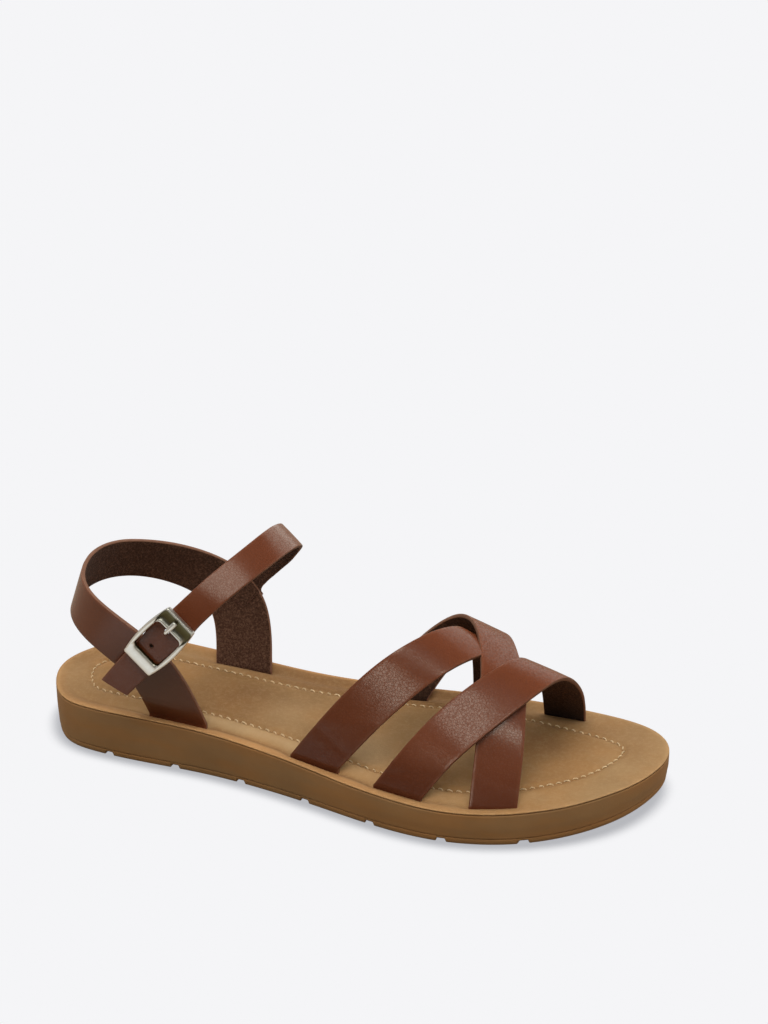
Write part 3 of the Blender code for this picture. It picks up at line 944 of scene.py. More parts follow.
@dataclass(frozen=True)
class SoleForm:
    """Plan and edge heights of the sole, which the footbed and the strap feet share."""

    length: float = 0.2606
    ball_width: float = 0.0955
    instep: float = 0.068
    heel_height: float = 0.0215
    toe_spring: float = 0.0057
    spring_start: float = 0.78
    heel_tip: float = 0.016
    toe_tip: float = 0.341
    spine_ends: tuple[float, float] = (0.034, 0.036)
    stations: tuple[Station, ...] = (
        Station(0.040, -0.496, 0.479), Station(0.105, -0.675, 0.684), Station(0.200, -0.704, 0.661),
        Station(0.300, -0.700, 0.644), Station(0.400, -0.747, 0.648), Station(0.500, -0.841, 0.730),
        Station(0.600, -0.954, 0.867), Station(0.700, -0.999, 0.978), Station(0.790, -0.903, 0.998),
        Station(0.870, -0.698, 0.947), Station(0.935, -0.419, 0.843), Station(0.980, -0.076, 0.658),
    )
    top_shares: tuple[float, ...] = (0.912, 1.000, 0.935, 0.794, 0.672, 0.674, 0.815)
    outer_lift: Knots = (
        (0.00, 0.0000), (0.16, -0.0008), (0.54, -0.0008), (0.64, -0.0004), (0.78, -0.0004), (0.87, 0.0000),
        (0.95, 0.0006), (1.00, 0.0006),
    )
    outer_ramp: Ramp = Ramp(0.012, -0.030)
    ends_kept_off: float = 0.001

    def share(self, x: Array) -> Array:
        """Places along the foot as shares of its length, from the heel."""
        return np.atleast_1d(x) / self.length + 0.5

    def profile(self, knots: Knots, x: Array) -> Array:
        """An eased profile of shares of the length, read at places along the foot."""
        return eased_profile(knots, np.clip(self.share(x), self.ends_kept_off, 1.0 - self.ends_kept_off))

    def top_edge(self, x: Array) -> Array:
        """Height of the sole's top edge at places along the foot."""
        heights = np.array(self.top_shares)[:, None] * self.heel_height
        return natural_spline(heights, np.clip(self.share(x), 0.0, 1.0) * (len(heights) - 1))[:, 0]

    def top(self, plan: Array) -> Array:
        """Height of the sole's top at places in plan, which sags a little along the outer side."""
        x = plan[:, 0]
        return self.top_edge(x) + self.profile(self.outer_lift, x) * self.outer_ramp.at(plan[:, 1])

    def floor_edge(self, x: Array) -> Array:
        """Height of the underside at places along the foot."""
        share = (self.share(x) - self.spring_start) / (1.0 - self.spring_start)
        return self.toe_spring * np.clip(share, 0.0, 1.0) ** 2

    def outline(self, half: int, crowd: Callable[[Array], Array] | None = None) -> Array:
        """Plan of the sole: heel tip, outer side, toe tip, inner side.

        Args:
            half: Steps on each side.
            crowd: Gives how closely points stand at a place in plan.

        Returns:
            Twice as many points as the steps on a side.
        """
        outer = [(row.along, row.outer) for row in self.stations]
        inner = [(row.along, row.inner) for row in reversed(self.stations)]
        shares = np.array([(0.0, self.heel_tip), *outer, (1.0, self.toe_tip), *inner])
        plan = (shares - (0.5, 0.0)) * (self.length, self.ball_width / 2)
        wrap, fineness = 5, 1600
        looped = np.vstack([plan[-wrap:], plan, plan[:wrap + 1]])
        side = len(self.stations) + 1
        sides = []
        for start in (wrap, wrap + side):
            fine = natural_spline(looped, np.linspace(start, start + side, fineness))
            step = np.linalg.norm(np.diff(fine, axis=0), axis=1)
            weight = np.ones(len(step)) if crowd is None else crowd(fine[:-1])
            run = np.concatenate([[0.0], np.cumsum(step * weight)])
            sides.append(read_rows(np.linspace(0.0, run[-1], half, endpoint=False), run, fine))
        return np.vstack(sides)

    @staticmethod
    def inward(points: Array) -> Array:
        """Inward normals of an outline."""
        ahead = np.roll(points, -1, axis=0) - np.roll(points, 1, axis=0)
        return unit(np.column_stack([-ahead[:, 1], ahead[:, 0]]))

    def spine(self, points: Array) -> Line:
        """Middle line of an outline.

        Args:
            points: The outline.

        Returns:
            The line's points from heel to toe, one for each pair of facing points of the outline, and the
            line's point that each point of the outline looks to.
        """
        count = len(points)
        half = count // 2
        facing = points[(-np.arange(half + 1)) % count]
        middle = (points[:half + 1] + facing) / 2
        low = -self.length / 2 + self.spine_ends[0]
        high = self.length / 2 - self.spine_ends[1]
        x = low + (middle[:, 0] / self.length + 0.5) * (high - low)
        line = np.column_stack([x, np.interp(x, middle[:, 0], middle[:, 1])])
        return line, line[np.minimum(np.arange(count), count - np.arange(count))]

    def depth_tree(self) -> KDTree:
        """A search tree over the outline, for distances from the edge."""
        return plan_tree(self.outline(1500))


@dataclass
class Outsole:
    """The moulded unit sole with its tread grooves."""

    form: SoleForm
    shop: Workshop
    half: int = 520
    groove_count: int = 7
    groove_pitch: float = 0.030
    groove_half: float = 0.0022
    groove_flank: float = 0.0007
    groove_depth: float = 0.0016
    groove_middle: float = -0.0012
    groove_skew: float = 3.0
    band_height: float = 0.0029
    worn_height: float = 0.0012
    crowd_gain: float = 4.0
    crowd_reach: float = 0.0009
    wall: tuple[Level, ...] = (
        Level(0.00200, 0, 0.00000), Level(0.00130, 0, 0.00012), Level(0.00095, 0, 0.00045),
        Level(0.00074, 0, 0.00100), Level(0.00064, 0, 0.00180), Level(0.00060, 0, 0.00250),
        Level(0.00064, 0, 0.00266), Level(0.00080, 0, 0.00278), Level(0.00080, 0, 0.00290),
        Level(0.00056, 0, 0.00304), Level(0.00044, 0, 0.00330), Level(0.00040, 0, 0.00370),
        Level(0.00034, 0.10, 0.00340), Level(0.00022, 0.25, 0.00240), Level(0.00010, 0.45, 0.00080),
        Level(0.00002, 0.65, -0.00070), Level(0.00000, 0.85, -0.00180), Level(0.00000, 1, -0.00240),
        Level(0.00000, 1, -0.00110), Level(0.00000, 1, -0.00056), Level(0.00005, 1, -0.00034),
        Level(0.00015, 1, -0.00022), Level(0.00034, 1, -0.00016), Level(0.00090, 1, -0.00015),
        Level(0.00240, 1, -0.00015), Level(0.00260, 1, -0.00350),
    )
    floor_shares: tuple[float, ...] = (0.04, 0.10, 0.18, 0.28, 0.40, 0.52, 0.64, 0.76, 0.88)

    def tread(self, plan: Array) -> Array:
        """Places in plan counted square to the grooves, from the middle one."""
        return plan[:, 0] - plan[:, 1] * math.tan(math.radians(self.groove_skew)) - self.groove_middle

    def groove(self, plan: Array) -> Array:
        """Depth of the tread grooves at places in plan.

        Args:
            plan: The places.

        Returns:
            The height of the groove's roof over the tread.
        """
        run = self.tread(plan)
        half_span = self.groove_pitch * (self.groove_count - 1) / 2
        nearest = np.clip(np.round(run / self.groove_pitch) * self.groove_pitch, -half_span, half_span)
        inside = self.groove_half - np.abs(run - nearest)
        return self.groove_depth * ease(inside / self.groove_flank)

    def crowd(self, plan: Array) -> Array:
        """How closely outline points stand at places in plan: closer at the grooves' flanks.

        Args:
            plan: The places.

        Returns:
            A weight for each.
        """
        pitches = self.tread(plan) / self.groove_pitch
        off = np.abs(pitches - np.round(pitches)) * self.groove_pitch
        return 1.0 + self.crowd_gain * Ridge(self.groove_half, self.crowd_reach).at(off)

    def build(self) -> None:
        """Build the sole."""
        outline = self.form.outline(self.half, self.crowd)
        normals = self.form.inward(outline)
        count = len(outline)
        rings, band, edge = [], [], []
        for level in self.wall:
            plan = outline + normals * level.inset
            low = self.form.floor_edge(plan[:, 0])
            rise = (self.form.top(plan) - low) * level.share + level.lift
            z = low + rise + self.groove(plan) * np.clip(1.0 - rise / self.band_height, 0.0, 1.0)
            rings.append(np.column_stack([plan, z]))
            near_floor = level.share == 0
            band.append(np.full(count, float(near_floor and level.lift < self.band_height)))
            edge.append(np.full(count, float(near_floor and 0.0 < level.lift < self.worn_height)))
        sketch = MeshSketch()
        sketch.add(np.vstack(rings), grid_faces(len(rings), count, True), band=np.concatenate(band),
                   edge=np.concatenate(edge))
        self._close(sketch, rings[0], 0, lambda plan: self.form.floor_edge(plan[:, 0]) + self.groove(plan))
        self._close(sketch, rings[-1], (len(rings) - 1) * count,
                    lambda plan: self.form.top(plan) + self.wall[-1].lift)
        item = sketch.build("outsole_moulding", [self.shop.get(MOULDED_RUBBER)], 40.0)
        self.shop.hand_over(item, Slot.RUBBER, "outsole")

    def _close(self, sketch: MeshSketch, ring: Array, start: int, height: Callable[[Array], Array]) -> None:
        """Close a ring of the wall with a floor.

        Args:
            sketch: The mesh so far.
            ring: The ring.
            start: Number of the ring's first point.
            height: Gives the floor's height at places in plan.
        """
        count = len(ring)
        spine, paired = self.form.spine(ring[:, :2])
        plans = [ring[:, :2] + (paired - ring[:, :2]) * share for share in self.floor_shares]
        plan = np.vstack([*plans, spine])
        faces = []
        for face in disc_faces(count, len(self.floor_shares) + 1):
            faces.append(tuple(start - sketch.count + k if k < count else k - count for k in face))
        sketch.add(np.column_stack([plan, height(plan)]), faces, band=np.ones(len(plan)))


@dataclass
class Footbed:
    """The padded footbed: thin rim, puffed border, stitched line and raised pad."""

    form: SoleForm
    shop: Workshop
    half: int = 420
    stitch_inset: float = 0.0152
    stitch_inset_toe: float = 0.0180
    stitch_pitch: float = 0.0036
    stitch_length: float = 0.0022
    stitch_slant: float = 0.00034
    thread_radius: float = 0.00027
    thread_sides: int = 7
    thread_steps: int = 7
    thread_sink: float = 0.00030
    thread_arch: float = 0.00052
    loop_fineness: int = 1200
    loop_slack: float = 0.0003
    loop_softening: int = 12
    toe_ramp: Ramp = Ramp(0.62, 0.33)
    rim: Knots = (
        (0.00310, -0.00320), (0.00280, 0.00010), (0.00080, 0.00004), (0.00030, 0.00004), (0.00012, 0.00010),
        (0.00006, 0.00022), (0.00006, 0.00045), (0.00012, 0.00065), (0.00028, 0.00080), (0.00060, 0.00088),
        (0.00130, 0.00088), (0.00210, 0.00082), (0.00290, 0.00070), (0.00350, 0.00054), (0.00410, 0.00034),
        (0.00460, 0.00014), (0.00510, -0.00012), (0.00560, -0.00036),
    )
    rim_crest: int = 9
    rim_flat: float = 0.00086
    rim_low: Ramp = Ramp(0.0002, 0.0004)
    rim_low_fade: float = 0.15
    # A paler line along the rim's rounded top edge, over these rings counted from its crest.
    rim_pale_line: Ridge = Ridge(-1.5, 1.6)
    rim_tone: Ramp = Ramp(0.0024, 0.0030)
    seam_knot: float = 0.0150
    creased_knots: Knots = (
        (0.0000, 0.00080), (0.0060, -0.00042), (0.0124, 0.00115), (0.0150, 0.00045), (0.0182, 0.00118),
        (0.0300, 0.00130), (0.0800, 0.00130),
    )
    flat_knots: Knots = (
        (0.0000, 0.00086), (0.0060, 0.00086), (0.0124, 0.00098), (0.0150, 0.00045), (0.0182, 0.00105),
        (0.0300, 0.00080), (0.0800, 0.00050),
    )
    crease_along: Knots = (
        (0.00, 0.45), (0.12, 0.85), (0.28, 1.00), (0.56, 1.00), (0.72, 0.55), (0.84, 0.05), (1.00, 0.00),
    )
    swell_height: float = 0.00016
    swell_ramp: Ramp = Ramp(0.006, 0.008)
    cover_step: float = 0.0006
    cover_fine: float = 0.0222
    cover_coarse: tuple[float, ...] = (0.0236, 0.0254, 0.0276, 0.0302)
    cover_reach: float = 0.034
    cover_join: Ramp = Ramp(0.0056, 0.0012)
    # Painted shade on the border, round the heel and along the inner side.
    outer_shade: Knots = ((0.00, 0.40), (0.14, 0.35), (0.24, 0.00), (1.00, 0.00))
    inner_shade: Knots = (
        (0.00, 0.40), (0.20, 0.25), (0.42, 0.90), (0.60, 0.90), (0.78, 0.45), (0.95, 0.40), (1.00, 0.15),
    )
    # Painted strap shadows on the pad.
    shadow_patches: tuple[Patch, ...] = (Patch(-0.047, -0.002, 0.020, 0.80), Patch(0.080, 0.013, 0.013, 0.85))
    # Painted light on the pad between the straps.
    pale: tuple[Patch, ...] = (
        Patch(-0.026, -0.006, 0.011, 0.40), Patch(0.016, -0.019, 0.013, 0.75),
        Patch(0.043, -0.003, 0.014, 0.55),
    )
    border_start: Ramp = Ramp(0.0012, 0.0012)
    border_end: Ramp = Ramp(0.0138, 0.0010)
    inner_half: Ramp = Ramp(0.0, 0.02)
    # Painted shade in the crease inside the rim, then painted light on the puffed outer border.
    crease_line: Ridge = Ridge(0.0058, 0.0013)
    crease_shade: float = 0.75
    puff_line: Ridge = Ridge(0.0105, 0.0025)
    puff_start: Ramp = Ramp(0.20, 0.10)
    puff_fade: Ramp = Ramp(0.47, 0.06)
    puff_faded: float = 0.6
    puff_light: float = 0.70
    patch_ramp: Ramp = Ramp(0.0145, 0.0030)
    pad_ramp: Ramp = Ramp(0.0148, 0.0010)
    pale_toe: Ramp = Ramp(0.084, 0.022)
    pale_toe_share: float = 0.55
    feet: list[Line] = field(default_factory=list)
    foot_dip: float = 0.0010
    foot_reach: float = 0.0026
    foot_ramp: Ramp = Ramp(0.0010, 0.0030)
    pucker_depth: float = 0.00008
    pucker_pull: float = 0.00034
    pucker: Ridge = Ridge(0.0, 0.0013)
    # Painted shade at the needle holes: its reach and strength.
    needle: Ridge = Ridge(0.0, 0.0005)
    needle_shade: float = 0.5
    seam_waver: float = 0.0004

    def creased(self, x: Array) -> Array:
        """How deep the crease inside the rim is at places along the foot, as a share."""
        return self.form.profile(self.crease_along, x)

    def stitch_depth(self, x: Array) -> Array:
        """Inset of the stitched line at places along the foot."""
        deeper = self.stitch_inset_toe - self.stitch_inset
        return self.stitch_inset + deeper * self.toe_ramp.at(self.form.share(x))

    def even_depth(self, depth: Array, x: Array) -> Array:
        """Distances from the edge, scaled so that the stitched line has the same everywhere."""
        return depth * self.seam_knot / self.stitch_depth(x)

    def stitch_loop(self, tree: KDTree) -> Array:
        """Plan of the stitched line.

        Args:
            tree: The outline's search tree.

        Returns:
            Evenly spaced points round the loop.
        """
        outline = self.form.outline(900)
        inset = self.stitch_depth(outline[:, 0])
        loop = outline + self.form.inward(outline) * inset[:, None]
        clear = plan_find(tree, loop)[1] > inset - self.loop_slack
        loop = resample(loop[clear], self.loop_fineness, True)
        for _ in range(self.loop_softening):
            loop = (np.roll(loop, 1, axis=0) + 2.0 * loop + np.roll(loop, -1, axis=0)) / 4.0
        return resample(loop, self.loop_fineness, True)

    def surface(self, plan: Array, tree: KDTree) -> tuple[Array, Array]:
        """Height of the footbed's top and distance from its edge.

        Args:
            plan: Places in plan.
            tree: The outline's search tree.

        Returns:
            Heights and distances.
        """
        depth = plan_find(tree, plan)[1]
        x, y = plan[:, 0], plan[:, 1]
        even = self.even_depth(depth, x)
        creased = self.creased(x)
        lift = creased * eased_profile(self.creased_knots, even)
        lift = lift + (1.0 - creased) * eased_profile(self.flat_knots, even)
        swell = np.sin(x * 71.0 + 1.3 * np.sin(y * 90.0)) * np.sin(y * 130.0 + 0.7) * self.swell_height
        return self.form.top(plan) + lift + swell * self.swell_ramp.at(depth), depth

    def _dips(self, plan: Array) -> Array:
        """Depth of the hollows that the strap feet press into the cover, at places in plan."""
        reach = Ridge(0.0, self.foot_reach)
        return self.foot_dip * np.max([reach.at(segment_distance(plan, *foot)) for foot in self.feet], axis=0)

    def _rise(self, lift: float, x: Array) -> Array:
        """A lift of the rim's inner slope, less where the crease is shallow."""
        return self.rim_flat + (lift - self.rim_flat) * self.creased(x)

    def build(self) -> None:
        """Build the footbed and its stitches."""
        tree = self.form.depth_tree()
        loop = self.stitch_loop(tree)
        outline = self.form.outline(self.half)
        normals = self.form.inward(outline)
        count = len(outline)
        creased = self.creased(outline[:, 0])
        rings, low, edge, rim = [], [], [], []
        for k, (inset, lift) in enumerate(self.rim):
            plan = outline + normals * inset
            rise = np.full(count, lift)
            if k > self.rim_crest:
                rise = self._rise(lift, plan[:, 0]) - self._dips(plan) * self.foot_ramp.at(inset)
            rings.append(np.column_stack([plan, self.form.top(plan) + rise]))
            under = 1.0 - float(self.rim_low.at(lift)) if k < self.rim_crest else 0.0
            low.append(under * (1.0 - self.rim_low_fade * self.creased(plan[:, 0])))
            edge.append(np.full(count, self.rim_pale_line.at(k - self.rim_crest)))
            rim.append(creased * float(1.0 - self.rim_tone.at(inset)))
        inner = rings[-1][:, :2]
        spine, paired = self.form.spine(inner)
        steps = [*np.arange(self.cover_step, self.cover_fine, self.cover_step), *self.cover_coarse]
        plans = [inner + (paired - inner) * (step / self.cover_reach) for step in steps]
        plan = np.vstack([*plans, spine])
        z, depth = self.surface(plan, tree)
        pucker, hole, wave = self._puckers(plan, loop)
        join = self.cover_join.at(depth)
        z = (z - pucker) * join - self._dips(plan)
        z = z + (self.form.top(plan) + self._rise(self.rim[-1][1], plan[:, 0])) * (1.0 - join)
        even = self.even_depth(depth, plan[:, 0])
        points = np.vstack([*rings, np.column_stack([plan, z])])
        insets = [np.full(count, inset) for inset, _ in self.rim]
        fold, puff = self._tones(points, np.concatenate([*insets, even]))
        pad = self.pad_ramp.at(even - wave) * (1.0 - self.pale_toe_share * self.pale_toe.at(plan[:, 0]))
        zeros, plain = np.zeros(len(plan)), np.zeros(count * len(rings))
        sketch = MeshSketch()
        sketch.add(points, disc_faces(count, len(rings) + len(plans)), low=np.concatenate([*low, zeros]),
                   edge=np.concatenate([*edge, zeros]), rim=np.concatenate([*rim, zeros]),
                   hole=np.concatenate([plain, hole]), fold=fold, puff=puff, pad=np.concatenate([plain, pad]))
        base = rings[0][:, :2]
        under, facing = self.form.spine(base)
        flat = np.vstack([base, base + (facing - base) * 0.5, under])
        bottom = np.column_stack([flat, self.form.top(flat) + self.rim[0][1]])
        sketch.add(bottom, disc_faces(count, 2), low=np.ones(len(bottom)))
        item = sketch.build("footbed_cushion", [self.shop.get(FOOTBED_COVER)], 60.0)
        mend(item.data, weld=1e-6)
        self.shop.hand_over(item, Slot.FOOTBED, "insole")
        self._stitches(loop, tree)

    @staticmethod
    def _patches(patches: Sequence[Patch], points: Array) -> Array:
        """How far soft patches reach at points.

        Args:
            patches: The patches.
            points: The points.

        Returns:
            A share from 0 to 1 for each point.
        """
        reached = np.zeros(len(points))
        for patch in patches:
            away = np.hypot(points[:, 0] - patch.x, points[:, 1] - patch.y)
            reached = np.maximum(reached, patch.share * np.exp(-(away / patch.reach) ** 2))
        return reached

    def _tones(self, points: Array, inset: Array) -> Line:
        """Where painted shade darkens the cover (its border, the crease inside the rim, strap shadows) and
        painted light brightens it (the puffed outer border, patches between straps).

        Args:
            points: Places on the footbed's top.
            inset: Their distance from the edge.

        Returns:
            Shares of the painted shade and the painted light at each place.
        """
        x = points[:, 0]
        share = np.clip(self.form.share(x), 0.0, 1.0)
        creased = self.creased(x)
        inner = self.inner_half.at(points[:, 1])
        outer = 1.0 - inner
        border = self.border_start.at(inset) * (1.0 - self.border_end.at(inset))
        shade = self.form.profile(self.inner_shade, x) * inner
        shade = shade + self.form.profile(self.outer_shade, x) * outer
        # Painted shade in the crease.
        crease = self.crease_shade * creased * self.crease_line.at(inset) * outer
        inside = self.patch_ramp.at(inset)
        # fold: painted shade on the border, in the crease and as strap shadows.
        fold = np.maximum(np.maximum(border * shade, crease), self._patches(self.shadow_patches, points) * inside)
        along = self.puff_start.at(share) * (1.0 - self.puff_faded * self.puff_fade.at(share))
        # Painted light on the puffed outer border, and on the lit patches below.
        puff = self.puff_light * self.puff_line.at(inset) * creased * outer * along
        return fold, np.maximum(puff, self._patches(self.pale, points) * inside)

    def _stitch_count(self, loop: Array) -> int:
        """How many stitches go round the stitched line."""
        return round(np.linalg.norm(loop - np.roll(loop, -1, axis=0), axis=1).sum() / self.stitch_pitch)

    def _puckers(self, plan: Array, loop: Array) -> tuple[Array, Array, Array]:
        """Small hollows where the thread goes down.

        Args:
            plan: Places in plan.
            loop: The stitched line.

        Returns:
            Depth of the hollow, painted shade of the needle hole and waver of the seam at each place.
        """
        index, off = plan_find(plan_tree(loop), plan)
        phase = index / len(loop) * self._stitch_count(loop)
        pull = 0.5 + 0.5 * np.cos(2.0 * math.pi * phase)
        hollow = (self.pucker_depth + self.pucker_pull * pull) * self.pucker.at(off)
        return hollow, self.needle_shade * pull**4 * self.needle.at(off), self.seam_waver * (1.0 - 2.0 * pull)

    def _stitches(self, loop: Array, tree: KDTree) -> None:
        """The thread on the stitched line.

        Args:
            loop: The stitched line.
            tree: The outline's search tree.
        """
        number = self._stitch_count(loop)
        closed = np.vstack([loop, loop[:1]])
        run = np.linspace(0.0, 1.0, len(closed))
        even = np.linspace(-1.0, 1.0, self.thread_steps)
        arch = 1.0 - even**4
        sketch = MeshSketch()
        for k in range(number):
            uneven = 0.88 + 0.14 * math.sin(k * 2.4) + 0.10 * math.sin(k * 5.3)
            reach = self.stitch_length / self.stitch_pitch / 2.0 * uneven
            plan = read_rows((k + 0.5 + even * reach) / number, run, closed)
            ahead = unit(plan[-1:] - plan[:1])[0]
            plan = plan - even[:, None] * self.stitch_slant * (-ahead[1], ahead[0])
            z, _ = self.surface(plan, tree)
            path = np.column_stack([plan, z - self.thread_sink + self.thread_arch * arch])
            sketch.add(*tube(path, self.thread_radius * (0.75 + 0.25 * arch), self.thread_sides))
        item = sketch.build("footbed_stitching", [self.shop.get(ThreadFinish())], 80.0)
        self.shop.hand_over(item, Slot.FOOTBED)


class Band(NamedTuple):
    """A strap's middle surface: its two edges, its middle line and its outward normals, row by row."""

    rear: Array
    front: Array
    middle: Array
    outward: Array

    def feet(self) -> list[Line]:
        """Plan of the strap's two feet, each as the ends of a line."""
        return [(self.rear[k, :2], self.front[k, :2]) for k in (0, -1)]


@dataclass
class Strap:
    """A flat cut strap: leather outside, felted lining inside and bare rims."""

    form: SoleForm
    sections: tuple[Section, ...]
    width: float = 0.019
    thickness: float = 0.0017
    rows: int = 150
    columns: int = 16
    back_columns: int = 8
    feet: bool = True
    foot_depth: float = 0.0029
    foot_rows: int = 5
    crown: float = 0.00010
    corner: float = 0.00042
    worn_edge: float = 0.0011
    wave_height: float = 0.00006
    creases: tuple[Crease, ...] = ()
    # Painted shade toward the strap's feet: how dark it gets, and how far up the strap it reaches.
    foot_shade: float = 0.0
    foot_shade_fade: float = 0.034

    def edges(self) -> Line:
        """Rear and front edge of the middle surface, from end to end.

        Returns:
            The two edges.
        """
        scale = np.array((self.form.length, self.form.ball_width / 2, self.form.instep))
        along, across, up, turn, rise, width = np.array(self.sections).T
        middle = np.column_stack([along - 0.5, across, up]) * scale
        turn, rise = np.radians(turn), np.radians(rise)
        reach = width[:, None] * self.width / 2
        heading = np.column_stack([np.cos(rise) * np.cos(turn), np.cos(rise) * np.sin(turn), np.sin(rise)])
        places = np.linspace(0, len(self.sections) - 1, self.rows)
        rear = natural_spline(middle - heading * reach, places)
        front = natural_spline(middle + heading * reach, places)
        inset = unit(np.cross(front - rear, np.gradient(rear + front, axis=0))) * self.thickness / 2
        return rear - inset, front - inset

    def lay(self) -> Band:
        """The strap's middle surface, with its feet.

        Returns:
            The band.
        """
        rear, front = self.edges()
        if self.feet:
            rear, front = self._with_feet(rear), self._with_feet(front)
        return self.band(rear, front, (rear + front) / 2)

    @staticmethod
    def band(rear: Array, front: Array, middle: Array) -> Band:
        """A band with smooth outward normals.

        Args:
            rear: Its rear edge.
            front: Its front edge.
            middle: Its middle line.

        Returns:
            The band.
        """
        outward = unit(np.cross(front - rear, np.gradient(rear + front, axis=0)))
        for _ in range(3):
            soft = (outward[:-2] + 2.0 * outward[1:-1] + outward[2:]) / 4.0
            outward = unit(np.vstack([outward[:1], soft, outward[-1:]]))
        return Band(rear, front, middle, outward)

    def _with_feet(self, edge: Array) -> Array:
        """Lengthen an edge straight down into the footbed at both ends.

        Args:
            edge: The edge.

        Returns:
            The longer edge.
        """
        ends = []
        for point in (edge[0], edge[-1]):
            floor = self.form.top(point[None, :2])[0] - self.foot_depth
            drop = np.linspace(1.0, 0.0, self.foot_rows, endpoint=False)[:, None]
            ends.append(point + drop * (0.0, 0.0, floor - point[2]))
        return np.vstack([ends[0], edge, ends[1][::-1]])

    def _cut_edge(self, way: int, grain_from: int) -> list[Cut]:
        """The rounded cut edge at one side of the cross section.

        Args:
            way: Which side, 1 or -1.
            grain_from: Angle in degrees from which the grain face begins.

        Returns:
            Rows of the cross section.
        """
        rows = []
        for angle in (60 * way, 30 * way, 0, -30 * way, -60 * way):
            turn = math.radians(angle)
            middle = self.thickness / 2 - self.corner
            height = (middle if angle >= 0 else -middle) + self.corner * math.sin(turn)
            face = Side.GRAIN if angle >= grain_from else Side.RIM
            rows.append(Cut(way, way * self.corner * (math.cos(turn) - 1.0), height, face))
        return rows

    def _section(self) -> list[Cut]:
        """The closed cross section.

        Returns:
            Its points, from the rear edge of the grain face round to it again.
        """
        half = self.thickness / 2
        grain = [Cut(share, -share * self.corner, half, Side.GRAIN)
                 for share in np.linspace(-1.0, 1.0, self.columns + 1)]
        lining = [Cut(share, -share * self.corner, -half, Side.LINING if share > -1.0 else Side.RIM)
                  for share in np.linspace(1.0, -1.0, self.back_columns + 1)]
        return grain + self._cut_edge(1, 60) + lining + self._cut_edge(-1, 30)

    def draw(self, sketch: MeshSketch, band: Band | None = None) -> Band:
        """Add the strap's closed shell to a mesh.

        Args:
            sketch: The mesh.
            band: The strap's middle surface, where it isn't laid as its sections say.

        Returns:
            The middle surface.
        """
        band = band or self.lay()
        span = band.front - band.rear
        half = np.linalg.norm(span, axis=1)[:, None] / 2
        across = unit(span)
        middle = (band.rear + band.front) / 2
        bow = np.sum((band.middle - middle) * band.outward, axis=1)[:, None]
        run = run_along(middle)
        shares, offsets, heights, sides = zip(*self._section())
        share = np.array(shares)
        side = share * half + np.array(offsets)
        height = np.array(heights) + bow * (1.0 - share**2)
        height = height + (self.crown * (1.0 - share**2) + self._relief(run, side)) * (height > 0.0)
        points = middle[:, None] + across[:, None] * side[..., None]
        points = points + band.outward[:, None] * height[..., None]
        rows, columns = side.shape
        slots = [int(face) for face in sides] * (rows - 1) + [int(Side.RIM)] * 2
        edge = np.clip((np.abs(side) - half + self.worn_edge) / self.worn_edge, 0.0, 1.0) ** 2
        # Painted shade, darker toward both ends where the strap meets the footbed.
        foot = self.foot_shade * (1.0 - ease(np.minimum(run, run[-1] - run) / self.foot_shade_fade))
        sketch.add(points.reshape(-1, 3), capped_faces(rows, columns), slots, foot=np.repeat(foot, columns),
                   edge=edge.reshape(-1))
        return band

    def _relief(self, run: Array, side: Array) -> Array:
        """Creases and slight waves of the grain face.

        Args:
            run: Distance of each row along the strap.
            side: Distance of each point across it.

        Returns:
            Height of the relief at each point.
        """
        place = run[:, None]
        relief = self.wave_height * np.sin(place * 210.0 + side * 160.0) * np.sin(place * 73.0 + 1.0)
        for crease in self.creases:
            off = place - crease.along * run[-1] + side * math.tan(math.radians(crease.slant))
            relief = relief + crease.height * Ridge(0.0, crease.breadth).at(off)
        return relief


REAR_SECTIONS = (
    Section(0.497, -0.718, 0.247, -7, -3, 1.14), Section(0.555, -0.629, 0.546, -7, -14, 1.09),
    Section(0.615, -0.465, 0.796, -5, -23, 1.06), Section(0.671, -0.163, 0.928, -4, -25, 1.01),
    Section(0.698, 0.344, 0.833, 5, -26, 1.05), Section(0.699, 0.732, 0.577, 7, -19, 1.02),
    Section(0.697, 0.827, 0.202, 8, -3, 0.93),
)
FRONT_SECTIONS = (
    Section(0.639, -0.847, 0.211, -7, -3, 1.09), Section(0.687, -0.717, 0.478, -8, -10, 1.06),
    Section(0.736, -0.451, 0.664, -6, -17, 1.09), Section(0.783, -0.116, 0.785, -2, -16, 1.06),
    Section(0.804, 0.300, 0.732, 1, -17, 1.04), Section(0.815, 0.645, 0.505, -2, -12, 1.01),
    Section(0.814, 0.855, 0.204, -4, 0, 0.94),
)
CROSS_SECTIONS = (
    Section(0.785, -0.784, 0.201, 17, 0, 0.98), Section(0.778, -0.485, 0.538, 12, -12, 0.99),
    Section(0.769, -0.275, 0.699, 10, -17, 1.00), Section(0.757, -0.052, 0.786, 8, -22, 1.01),
    Section(0.717, 0.458, 0.820, 11, -30, 1.02), Section(0.662, 0.831, 0.745, 13, -19, 1.09),
    Section(0.593, 0.888, 0.494, 13, -11, 1.13), Section(0.544, 0.612, 0.233, 16, -4, 1.38),
)
HEEL_SECTIONS = (
    Section(0.258, -0.586, 0.301, 0, -2, 1.35), Section(0.228, -0.757, 0.675, -6, 27, 1.25),
    Section(0.160, -0.804, 0.901, -12, 53, 1.11), Section(0.092, -0.579, 1.014, -10, 67, 0.98),
    Section(0.074, -0.072, 1.049, 15, 75, 0.94), Section(0.116, 0.379, 0.996, 10, 65, 0.98),
    Section(0.194, 0.669, 0.863, 16, 40, 1.16), Section(0.257, 0.739, 0.633, 14, 16, 1.27),
    Section(0.285, 0.506, 0.296, 4, -2, 1.32),
)
